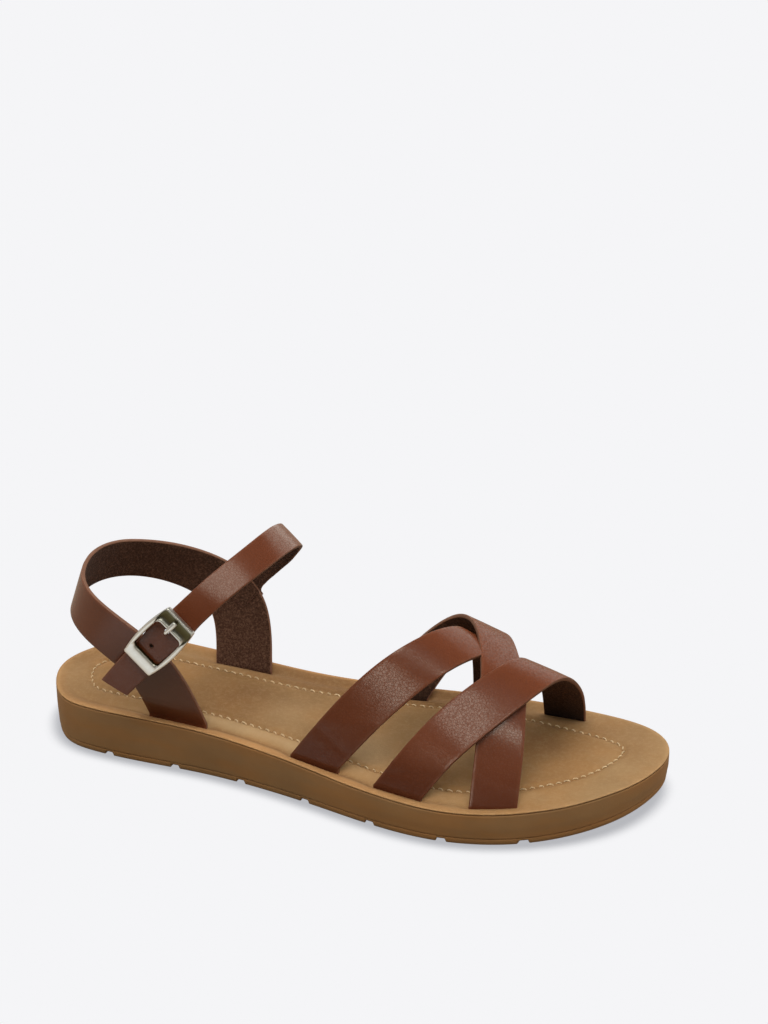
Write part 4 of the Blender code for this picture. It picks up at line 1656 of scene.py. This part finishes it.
ANKLE_SECTIONS = (
    Section(0.244, 0.856, 0.603, 178, 40, 1.00), Section(0.294, 0.847, 0.850, 178, 42, 1.00),
    Section(0.341, 0.731, 1.090, 177, 41, 1.00), Section(0.379, 0.448, 1.280, 173, 39, 0.99),
    Section(0.393, 0.046, 1.392, 167, 36, 1.02), Section(0.379, -0.386, 1.376, 165, 34, 1.00),
    Section(0.340, -0.724, 1.250, 173, 28, 0.99), Section(0.289, -0.894, 1.042, 177, 23, 1.02),
    Section(0.234, -0.899, 0.813, 178, 24, 1.08), Section(0.181, -0.897, 0.575, 179, 24, 1.00),
)


class Seat:
    """A strap's middle surface that other pieces are laid on."""

    def __init__(self, band: Band) -> None:
        """Build the search tree.

        Args:
            band: The strap's middle surface.
        """
        rows = np.stack([band.rear, band.middle, band.front], axis=1)
        faces = [tuple(int(k) for k in face) for face in grid_faces(len(rows), 3, False)]
        self.tree = BVHTree.FromPolygons([tuple(point) for point in rows.reshape(-1, 3)], faces)

    def lift(self, point: Array, height: float) -> Array:
        """The place next to a point that lies a given height outside the strap.

        Args:
            point: The point.
            height: How far outside the middle surface.

        Returns:
            The place.
        """
        near, normal, _, _ = self.tree.find_nearest(Vector(point))
        if normal.dot(Vector((0.0, near.y, 0.0))) < 0.0:
            normal = -normal
        return np.array(near + normal * height)


@dataclass
class ForefootStraps:
    """The three crossed straps over the toes."""

    form: SoleForm
    shop: Workshop
    leather: LeatherFinish = LeatherFinish()

    def straps(self) -> list[Strap]:
        """The straps, from the lowest at the crossings to the highest.

        Returns:
            The rear, the front and the crossing strap.
        """
        bend, fold = 0.0020, 0.003
        rear = (Crease(0.10, 20, bend, -0.00012), Crease(0.17, -25, fold, 0.0001),
                Crease(0.86, 15, bend, -0.00012))
        front = (Crease(0.09, -18, bend, -0.00012), Crease(0.33, 30, fold, -0.0001),
                 Crease(0.90, 20, bend, -0.00012))
        cross = (Crease(0.08, 15, bend, -0.0001), Crease(0.93, -20, bend, -0.00012))
        # Each strap gets its own painted shade toward its feet.
        return [Strap(self.form, REAR_SECTIONS, creases=rear, foot_shade=0.78, foot_shade_fade=0.038),
                Strap(self.form, FRONT_SECTIONS, creases=front, foot_shade=0.82, foot_shade_fade=0.027),
                Strap(self.form, CROSS_SECTIONS, rows=170, creases=cross, foot_shade=0.72, foot_shade_fade=0.022)]

    def build(self) -> list[Line]:
        """Build the straps.

        Returns:
            The lines of their feet in plan.
        """
        sketch = MeshSketch()
        bands = [strap.draw(sketch) for strap in self.straps()]
        item = sketch.build("crossed_straps", self.shop.strap_set(self.leather))
        self.shop.hand_over(item, Slot.LEATHER, "forefoot_straps")
        return [foot for band in bands for foot in band.feet()]


@dataclass
class HeelStrap:
    """The band round the heel."""

    form: SoleForm
    shop: Workshop
    leather: LeatherFinish = LeatherFinish("heel_grain", cell_gloss=0.95, furrow_gloss=0.86, furrow_tone=0.06)
    rows: int = 220
    creases: tuple[Crease, ...] = (
        Crease(0.06, 15, 0.002, -0.00012), Crease(0.45, 8, 0.004, -0.00012), Crease(0.56, -10, 0.004, 0.0001),
        Crease(0.94, -15, 0.002, -0.00012),
    )

    def build(self) -> Band:
        """Build the strap.

        Returns:
            Its middle surface.
        """
        sketch = MeshSketch()
        band = Strap(self.form, HEEL_SECTIONS, rows=self.rows, creases=self.creases).draw(sketch)
        item = sketch.build("heel_band", self.shop.strap_set(self.leather))
        self.shop.hand_over(item, Slot.LEATHER, "heel_strap")
        return band


@dataclass
class BuckleFrame:
    """Where the buckle stands, and the sizes that its pieces share."""

    middle: Point = (-0.0609, -0.0432, 0.06495)
    slope: float = 47.5
    low: float = -0.0163
    high: float = 0.0138
    half_width: float = 0.0073
    bow: float = 0.0014
    corner: float = 0.0010
    thickness: float = 0.0018
    window_low: float = -0.0102
    window_high: float = 0.0069
    window_half: float = 0.0066
    window_corner: float = 0.0020
    bar_radius: float = 0.0008
    bar_place: float = -0.0030
    bar_reach: float = 0.0079
    prong_radius: float = 0.00075
    prong_side: float = -0.00075
    prong_rise: float = 0.0032
    prong_tip: float = 0.0124
    hole_place: float = -0.0058
    hole_radius: float = 0.0009
    strap_thickness: float = 0.0017
    face: list[Line] = field(default_factory=list)

    def axes(self) -> Line:
        """Directions of the buckle.

        Returns:
            The direction up the ankle strap, and the one across it.
        """
        slope = math.radians(self.slope)
        return (np.array((math.cos(slope), 0.0, math.sin(slope))),
                np.array((math.sin(slope), 0.0, -math.cos(slope))))

    def at(self, along: float, across: float, out: float) -> Array:
        """A place on the buckle.

        Args:
            along: Distance up the ankle strap.
            across: Distance across it.
            out: Distance out from its outer face.

        Returns:
            The place in space.
        """
        ahead, side = self.axes()
        return np.array(self.middle) + ahead * along + side * across + np.array((0.0, -out, 0.0))

    def rest_on(self, band: Band) -> None:
        """Read the outer face of the ankle strap near the buckle.

        Args:
            band: The ankle strap's middle surface.
        """
        rows = np.stack([band.rear, band.middle, band.front], axis=1)
        rows = rows[rows[..., 1].max(axis=1) < 0.0][::-1] - np.array(self.middle)
        out = self.strap_thickness / 2 - rows[..., 1]
        self.face = list(zip((rows @ self.axes()[0]).T, out.T))

    def floor(self, along: float) -> float:
        """How far out the frame's back lies at a place along the strap."""
        return max(float(np.interp(along, *column)) for column in self.face) + GAP

    def bar_depth(self) -> float:
        """How far out the bar's axis lies, behind the strap."""
        return -(self.strap_thickness + 2 * GAP + 2 * self.prong_radius + self.bar_radius)

    def climb(self) -> tuple[tuple[float, float], tuple[float, float]]:
        """Ends of the prong's climb.

        Returns:
            Place and height under the strap, and over the edge of the window.
        """
        under = -(self.strap_thickness + GAP + self.prong_radius)
        over = self.floor(self.window_high) + self.thickness + GAP + self.prong_radius
        return (self.prong_rise, under), (self.window_high - self.prong_radius, over)


@dataclass
class AnkleStrap:
    """The narrow strap over the instep, sewn to the heel strap and run through the buckle."""

    form: SoleForm
    shop: Workshop
    buckle: BuckleFrame
    leather: LeatherFinish = LeatherFinish(
        "ankle_grain", (0.170, 0.0450, 0.0165), cell_gloss=0.90, furrow_gloss=0.60, furrow_tone=0.08)
    thread: ThreadFinish = ThreadFinish("brown_thread", (0.150, 0.062, 0.036), (0.070, 0.028, 0.016))
    width: float = 0.0125
    rows: int = 230
    columns: int = 14
    creases: tuple[Crease, ...] = (
        Crease(0.24, 20, 0.003, -0.00012), Crease(0.44, -12, 0.004, 0.00012),
        Crease(0.53, 15, 0.004, -0.00012), Crease(0.70, 10, 0.003, -0.0001),
    )
    sewn: float = 0.10
    free: float = 0.22
    buckle_swell: float = 0.0013
    swell_place: float = 0.0040
    swell_reach: float = 0.0065
    box_rows: tuple[int, int] = (4, 20)
    box_half: float = 0.68
    box_stitches: int = 5
    thread_radius: float = 0.00024

    def lay(self, strap: Strap, seat: Seat) -> Band:
        """The strap's middle surface, its first rows laid on the heel strap.

        Args:
            strap: The strap.
            seat: The heel strap.

        Returns:
            The band.
        """
        rear, front = strap.edges()
        lines = [rear, (rear + front) / 2, front]
        height = strap.thickness + GAP
        for line in lines:
            for i, point in enumerate(line):
                loose = float(ease((i / (len(line) - 1) - self.sewn) / (self.free - self.sewn)))
                if loose < 1.0:
                    line[i] = loose * point + (1.0 - loose) * seat.lift(point, height)
        away = np.linalg.norm(lines[1] - self.buckle.at(self.swell_place, 0.0, 0.0), axis=1)[:, None]
        swell = unit(lines[2] - lines[0]) * self.buckle_swell * np.exp(-(away / self.swell_reach) ** 2)
        return strap.band(lines[0] - swell, lines[2] + swell, lines[1])

    def build(self, seat: Seat) -> None:
        """Build the strap with its holes and its box of stitches.

        Args:
            seat: The heel strap.
        """
        strap = Strap(self.form, ANKLE_SECTIONS, width=self.width, rows=self.rows, columns=self.columns,
                      feet=False, creases=self.creases)
        band = self.lay(strap, seat)
        self.buckle.rest_on(band)
        sketch = MeshSketch()
        strap.draw(sketch, band)
        item = sketch.build("ankle_band", self.shop.strap_set(self.leather))
        self._punch(item)
        self.shop.hand_over(item, Slot.LEATHER, "ankle_strap")
        self._box_stitch(band, strap, seat)

    def _punch(self, item: Object) -> None:
        """Cut the prong's hole and the next one of the row.

        Args:
            item: The strap.
        """
        buckle = self.buckle
        climb = [buckle.at(along, buckle.prong_side, out) for along, out in buckle.climb()]
        deep = 2 * buckle.strap_thickness
        plain = [buckle.at(buckle.hole_place, buckle.prong_side, out) for out in (-deep, deep / 2)]
        rings, sides = 6, 24
        for name, ends, radius in (("prong_punch", climb, buckle.prong_radius + GAP),
                                   ("row_punch", plain, buckle.hole_radius)):
            sketch = MeshSketch()
            shell = tube(np.linspace(*ends, rings), np.full(rings, radius), sides)
            sketch.add(*shell, slots=int(Side.LINING))
            punch = sketch.build(name, self.shop.strap_set(self.leather))
            cut = item.modifiers.new(name, "BOOLEAN")
            cut.operation = "DIFFERENCE"
            cut.solver = "EXACT"
            cut.object = punch
            bpy.context.view_layer.update()
            graph = bpy.context.evaluated_depsgraph_get()
            mesh = bpy.data.meshes.new_from_object(item.evaluated_get(graph))
            item.modifiers.clear()
            item.data = mesh
            bpy.data.objects.remove(punch, do_unlink=True)

    def _box_stitch(self, band: Band, strap: Strap, seat: Seat) -> None:
        """The square of stitches that sews the strap to the heel strap, on both faces.

        Args:
            band: The strap's middle surface.
            strap: The strap.
            seat: The heel strap.
        """
        (first, last), half = self.box_rows, self.box_half
        corners = np.array([(first, -half), (last, -half), (last, half), (first, half), (first, -half)])
        places = np.arange(4 * self.box_stitches + 1) / self.box_stitches
        route = read_rows(places, np.arange(5.0), corners)
        index = np.arange(len(band.rear))
        steps = np.linspace(0.1, 0.9, 6)[:, None]
        arch = (1.0 - np.linspace(-1.0, 1.0, 6) ** 4)[:, None]
        sketch = MeshSketch()
        for start, end in zip(route, route[1:]):
            row, share = (start + (end - start) * steps).T
            weight = (1.0 + share)[:, None] / 2.0
            rear, front, outward = [read_rows(row, index, rows)
                                    for rows in (band.rear, band.front, band.outward)]
            path = rear * (1.0 - weight) + front * weight
            grain = path + outward * (strap.thickness / 2 - 0.00012 + 0.00028 * arch)
            inside = np.array([seat.lift(point, -strap.thickness / 2) for point in path])
            inside = inside - outward * (0.00016 * arch - 0.00010)
            for line in (grain, inside):
                sketch.add(*tube(line, np.full(6, self.thread_radius), 6))
        item = sketch.build("ankle_stitching", [self.shop.get(self.thread)], 80.0)
        self.shop.hand_over(item, Slot.LEATHER)


@dataclass
class Buckle:
    """The metal frame with its bar, the prong and the elastic that holds them."""

    shop: Workshop
    frame: BuckleFrame
    plain_rim: Knots = (
        (0.000, 0.00), (0.000, 0.45), (0.015, 0.66), (0.050, 0.82), (0.110, 0.92), (0.200, 0.98),
        (0.320, 1.03), (0.450, 1.06), (0.580, 1.05), (0.700, 1.01), (0.810, 0.95), (0.900, 0.86),
        (0.960, 0.74), (0.990, 0.60), (1.000, 0.42), (1.000, 0.00),
    )
    hollow_rim: Knots = (
        (0.000, 0.00), (0.000, 0.62), (0.010, 0.84), (0.030, 0.96), (0.060, 1.00), (0.090, 0.94),
        (0.130, 0.74), (0.220, 0.56), (0.400, 0.50), (0.600, 0.52), (0.740, 0.62), (0.820, 0.86),
        (0.870, 0.98), (0.930, 1.00), (1.000, 0.80), (1.000, 0.00),
    )
    upper_ramp: Ramp = Ramp(-0.00056, 0.0016)
    # Where the painted dark reflection lies: the sunk middle of the upper bar and the window's inner wall.
    hollow_ramp: Ramp = Ramp(-0.80, 0.25)
    hollow_span: tuple[float, float] = (0.08, 0.9)
    wall_ramp: Ramp = Ramp(0.94, 0.05)
    bar_guide: Point = (0.7, 0.0, 0.7)
    pin_slim: float = 0.86
    pin_broad: float = 0.50
    pin_flat: float = 0.30
    pin_tip: Ramp = Ramp(0.72, 0.2)
    pin_end: float = 0.015
    elastic_width: float = 0.0105
    elastic_thickness: float = 0.0008
    elastic_sewn: float = 0.0120
    rib_pitch: float = 0.0009
    rib_height: float = 0.00006

    def loop(self, half_width: float, bow: float, low: float, high: float, corner: float) -> Array:
        """A rounded rectangle with bowed sides.

        Args:
            half_width: Half its width.
            bow: How far its long sides swell.
            low: Its lower end.
            high: Its upper end.
            corner: Radius of its corners.

        Returns:
            Places across and along.
        """
        turns, sides = 10, 26
        rows = []
        ends = ((half_width - corner, low + corner, -90), (half_width - corner, high - corner, 0),
                (corner - half_width, high - corner, 90), (corner - half_width, low + corner, 180))
        for k, (across, along, start) in enumerate(ends):
            for step in range(turns + 1):
                angle = math.radians(start + 90.0 * step / turns)
                rows.append((across + corner * math.cos(angle), along + corner * math.sin(angle)))
            for step in range(1, sides):
                share = step / sides
                run = low + corner + (high - low - 2 * corner) * share
                span = (half_width - corner) * (1 - 2 * share)
                swell = half_width + bow * (1 - (2 * share - 1) ** 2)
                rows.append(((swell, run), (span, high), (-swell, low + high - run), (-span, low))[k])
        return np.array(rows)

    def build(self, seat: Seat) -> None:
        """Build the buckle.

        Args:
            seat: The heel strap.
        """
        self._frame()
        self._prong()
        self._elastic(seat)

    def _frame(self) -> None:
        """The bowed frame with its window, and the bar behind it."""
        size = self.frame
        outer = self.loop(size.half_width, size.bow, size.low, size.high, size.corner)
        window = self.loop(size.window_half, 0.0, size.window_low, size.window_high, size.window_corner)
        points, hollow = [], []
        for plain, sunk in zip(self.plain_rim, self.hollow_rim):
            first, last = self.hollow_span
            deep = float(self.hollow_ramp.at(-sunk[1])) if first < sunk[0] < last else 0.0
            wall = float(self.wall_ramp.at(plain[0]))
            for rim, sill in zip(outer, window):
                upper = float(self.upper_ramp.at((rim[1] + sill[1]) / 2 - size.window_high))
                share, rise = np.array(plain) * (1.0 - upper) + np.array(sunk) * upper
                across, along = rim + (sill - rim) * share
                points.append(size.at(along, across, size.floor(along) + rise * size.thickness))
                # Painted dark reflection on the sunk upper bar and on the window's inner wall.
                hollow.append(max(upper * deep, wall * (1.0 - upper)))
        count = len(outer)
        last = len(points) - count
        faces = [tuple(face) for face in grid_faces(len(self.plain_rim), count, True)]
        faces += [(last + i, last + (i + 1) % count, (i + 1) % count, i) for i in range(count)]
        sketch = MeshSketch()
        sketch.add(np.array(points), faces, hollow=np.array(hollow))
        depth = size.bar_depth()
        inside = size.floor(size.bar_place) + size.thickness / 2
        turn = 3 * size.bar_radius
        route = [(size.bar_reach, inside), (size.bar_reach, depth + turn)]
        for angle in np.radians((22, 45, 68, 90)):
            across = size.bar_reach - turn * (1 - math.cos(angle))
            route.append((across, depth + turn * (1 - math.sin(angle))))
        route += [(-across, out) for across, out in reversed(route)]
        path = resample(np.array([size.at(size.bar_place, *place) for place in route]), 60, False)
        level = unit(np.cross(unit(np.gradient(path, axis=0)), self.bar_guide))
        sketch.add(*tube(path, np.full(len(path), size.bar_radius), 16, across=level))
        item = sketch.build("buckle_plate", [self.shop.get(MetalFinish())], 60.0)
        self.shop.hand_over(item, Slot.METAL, "buckle_frame")

    def _prong(self) -> None:
        """The pin, from its eye round the bar to its flattened tip on the frame."""
        size = self.frame
        eye = size.bar_radius + GAP + size.prong_radius
        depth = size.bar_depth()
        places = []
        for angle in np.radians(np.linspace(-60.0, -270.0, 13)):
            places.append((size.bar_place + eye * math.cos(angle), depth + eye * math.sin(angle)))
        places += size.climb()
        lift = size.thickness + GAP + size.prong_radius
        for along in np.linspace(size.window_high + 0.001, size.prong_tip, 6):
            places.append((along, size.floor(along) + lift))
        path = resample(np.array([size.at(along, size.prong_side, out) for along, out in places]), 90, False)
        share = np.linspace(0.0, 1.0, len(path))
        tip = self.pin_tip.at(share)
        round_off = ((share - 1.0 + self.pin_end) / self.pin_end).clip(0.0)
        end = np.sqrt(np.clip(1.0 - round_off**2, 0.05, 1.0))
        radii = size.prong_radius * (self.pin_slim + self.pin_broad * tip) * end
        side = np.broadcast_to(size.axes()[1], path.shape)
        sketch = MeshSketch()
        sketch.add(*tube(path, radii, 20, 1.0 - self.pin_flat * tip, side))
        item = sketch.build("buckle_pin", [self.shop.get(MetalFinish())], 60.0)
        self.shop.hand_over(item, Slot.METAL, "buckle_prong")

    def _elastic(self, seat: Seat) -> None:
        """The ribbed elastic, sewn on the heel strap and hooked round the bar.

        Args:
            seat: The heel strap.
        """
        size = self.frame
        lift = (size.strap_thickness + self.elastic_thickness) / 2 + GAP
        hook = size.bar_radius + GAP + self.elastic_thickness / 2
        depth = size.bar_depth()
        eye = size.prong_radius + 2 * GAP
        half = self.elastic_width / 2
        spans = ((-half, size.prong_side - eye), (size.prong_side + eye, half))
        sketch = MeshSketch()
        for first, last in spans:
            sides = np.linspace(first, last, 13)
            grid = []
            for along in np.linspace(size.window_low - self.elastic_sewn, size.window_low, 24):
                grid.append([seat.lift(size.at(along, across, depth), lift) for across in sides])
            for angle in np.radians(np.linspace(100.0, -130.0, 20)):
                along = size.bar_place + hook * math.cos(angle)
                out = depth + hook * math.sin(angle)
                grid.append([size.at(along, across, out) for across in sides])
            rows = np.array(grid)
            normal = unit(np.cross(np.gradient(rows, axis=1), np.gradient(rows, axis=0)))
            rib = 0.5 + 0.5 * np.cos((sides - first) / self.rib_pitch * 2.0 * math.pi)
            rise = (self.elastic_thickness / 2 + self.rib_height * (2.0 * rib - 1.0))[None, :, None]
            loop = np.concatenate([rows + normal * rise, (rows - normal * rise)[:, ::-1]], axis=1)
            ribs = np.tile(np.concatenate([rib, rib[::-1]]), len(loop))
            sketch.add(loop.reshape(-1, 3), capped_faces(*loop.shape[:2]), rib=ribs)
        item = sketch.build("ribbed_elastic_tab", [self.shop.get(RIBBED_ELASTIC)], 60.0)
        self.shop.hand_over(item, Slot.ELASTIC, "buckle_elastic")


class Lamp(NamedTuple):
    """A broad soft light: height and bearing of its middle in degrees, spread, strength and what it works on.

    A light with pieces works on those alone.
    """

    name: str
    height: float
    bearing: float
    spread: float
    strength: float
    lights: Lights
    pieces: tuple[str, ...] = ()


@dataclass
class Studio:
    """The pale floor, the soft lights and the camera."""

    place: Point = (0.25758, -0.66715, 0.42389)
    heading: Point = (-0.3119, 0.8614, -0.4009)
    roll: float = 0.19
    lens: float = 70.10
    sensor: float = 36.0
    floor_reach: float = 6.0
    floor_drop: float = 0.0001
    paper: Color = (0.913, 0.913, 0.930)
    shade: Color = (0.470, 0.475, 0.500)
    shade_reach: float = 0.0082
    floor_bounce: float = 0.13
    floor_shine: Color = (0.38, 0.29, 0.19)
    card_shine: Color = (0.76, 0.78, 0.75)
    card_middle: Point = (-0.11, -0.19, 0.0)
    card_reach: tuple[float, float] = (0.14, 0.06)
    sky_front: float = 0.05
    sky_left: float = 0.50
    sky_right: float = 0.30
    sky_back: float = 0.95
    lamps: tuple[Lamp, ...] = (
        Lamp("key_light", 66.0, 8.0, 40.0, 1.15, Lights.COLOR),
        Lamp("top_light", 80.0, 150.0, 110.0, 1.85, Lights.COLOR),
        Lamp("low_fill", 26.0, 14.0, 44.0, 0.42, Lights.COLOR, ("footbed_cushion", "footbed_stitching")),
        Lamp("front_panel", 60.0, -4.0, 17.0, 0.35, Lights.SHEEN, ("crossed_straps",)),
        Lamp("rear_panel", 24.0, -6.0, 22.0, 0.50, Lights.SHEEN, ("crossed_straps",)),
        Lamp("cross_panel", 48.0, 33.0, 12.0, 0.27, Lights.SHEEN, ("crossed_straps",)),
        Lamp("ankle_panel", 61.0, 16.0, 44.0, 1.45, Lights.SHEEN,
             ("ankle_band", "heel_band", "buckle_plate", "buckle_pin")),
        Lamp("ankle_back", 22.0, 172.0, 44.0, 0.40, Lights.SHEEN, ("ankle_band",)),
    )
    sheen_tint: Color = (1.00, 1.00, 0.85)
    sky_tint: Color = (1.00, 0.97, 0.90)

    def build(self) -> None:
        """Build the studio."""
        self._floor()
        self._sky()
        for lamp in self.lamps:
            self._lamp(lamp)
        self._camera()
        settings = bpy.context.scene.view_settings
        settings.view_transform = "Standard"
        settings.look = "None"

    def _floor(self) -> None:
        """A wide pale floor that throws little light back."""
        reach, low = self.floor_reach, -self.floor_drop
        mesh = bpy.data.meshes.new("studio_floor")
        corners = [(-reach, -reach, low), (reach, -reach, low), (reach, reach, low), (-reach, reach, low)]
        mesh.from_pydata(corners, [], [(0, 1, 2, 3)])
        floor = new_object("studio_floor", mesh)
        brush = Brush("pale_floor")
        rays = brush.put("LightPath").outputs
        seen = rays["Is Camera Ray"]
        dim, black = (self.floor_bounce,) * 3, (0.0, 0.0, 0.0)
        open_sky = brush.put("AmbientOcclusion", {"Distance": self.shade_reach}, samples=16).outputs["AO"]
        paper = brush.blend(brush.span(open_sky, 0.45, 0.98), self.shade, self.paper)
        away = brush.vector("DISTANCE", {0: brush.place(), 1: self.card_middle}).outputs["Value"]
        shine = brush.blend(brush.span(away, *self.card_reach), self.floor_shine, self.card_shine)
        mirrored = brush.blend(rays["Is Glossy Ray"], black, shine)
        brush.shade(base_color=brush.blend(seen, dim, black), roughness=0.9, specular_ior_level=0.0,
                    emission_color=brush.blend(seen, mirrored, paper), emission_strength=1.0)
        mesh.materials.append(brush.material)

    def _sky(self) -> None:
        """Dim soft light from all round, brighter behind, on a pale backdrop."""
        world = bpy.data.worlds.new("studio_sky")
        world.use_nodes = True
        bpy.context.scene.world = world
        canvas = Canvas(world.node_tree)
        ray = canvas.put("TexCoord").outputs["Generated"]
        axes = canvas.put("SeparateXYZ", {0: ray}).outputs
        back = canvas.times(canvas.span(axes[1], 0.2, 0.9), canvas.span(axes[2], 0.85, 0.45))
        level = canvas.span(back, 0.0, 1.0, self.sky_front, self.sky_back)
        for way, glow in ((-1.0, self.sky_left), (1.0, self.sky_right)):
            level = canvas.plus(level, canvas.span(canvas.times(axes[0], way), 0.5, 0.95, 0.0, glow))
        sky = canvas.blend(1.0, canvas.grey(level), self.sky_tint, "MULTIPLY")
        seen = canvas.put("LightPath").outputs["Is Camera Ray"]
        canvas.feed(world.node_tree.nodes["Background"].inputs["Color"], canvas.blend(seen, sky, self.paper))

    def _lamp(self, lamp: Lamp) -> None:
        """A broad soft light.

        Args:
            lamp: Its place and strength.
        """
        light = bpy.data.lights.new(lamp.name, "SUN")
        light.energy = lamp.strength
        light.angle = math.radians(lamp.spread)
        item = new_object(lamp.name, light)
        height, bearing = math.radians(lamp.height), math.radians(lamp.bearing)
        level = math.cos(height)
        source = Vector((level * math.sin(bearing), -level * math.cos(bearing), math.sin(height)))
        item.rotation_euler = source.to_track_quat("Z", "Y").to_euler()
        item.visible_diffuse = lamp.lights is Lights.COLOR
        item.visible_glossy = lamp.lights is Lights.SHEEN
        if lamp.lights is Lights.SHEEN:
            light.color = self.sheen_tint
        if lamp.pieces:
            group = bpy.data.collections.new(lamp.name)
            for name in lamp.pieces:
                group.objects.link(bpy.data.objects[name])
            item.light_linking.receiver_collection = group

    def _camera(self) -> None:
        """The camera at the photograph's angle."""
        ahead = Vector(self.heading).normalized()
        right = ahead.cross(Vector((0.0, 0.0, 1.0))).normalized()
        up = right.cross(ahead)
        turn = math.radians(self.roll)
        side = right * math.cos(turn) + up * math.sin(turn)
        top = up * math.cos(turn) - right * math.sin(turn)
        camera = bpy.data.cameras.new("studio_camera")
        camera.sensor_fit = "VERTICAL"
        camera.sensor_height = self.sensor
        camera.lens = self.lens
        camera.clip_start = 0.01
        item = new_object("studio_camera", camera)
        turned = Matrix((side, top, -ahead)).transposed().to_4x4()
        item.matrix_world = Matrix.Translation(self.place) @ turned
        bpy.context.scene.camera = item


def main() -> None:
    """Build the sandal and its studio."""
    logging.basicConfig(level=logging.INFO, format="%(name)s %(message)s")
    form = SoleForm()
    shop = Workshop(Effects())
    feet = ForefootStraps(form, shop).build()
    heel_band = HeelStrap(form, shop).build()
    seat = Seat(heel_band)
    buckle = BuckleFrame()
    AnkleStrap(form, shop, buckle).build(seat)
    Buckle(shop, buckle).build(seat)
    Outsole(form, shop).build()
    Footbed(form, shop, feet=feet + heel_band.feet()).build()
    Studio().build()


if __name__ == "__main__":
    main()
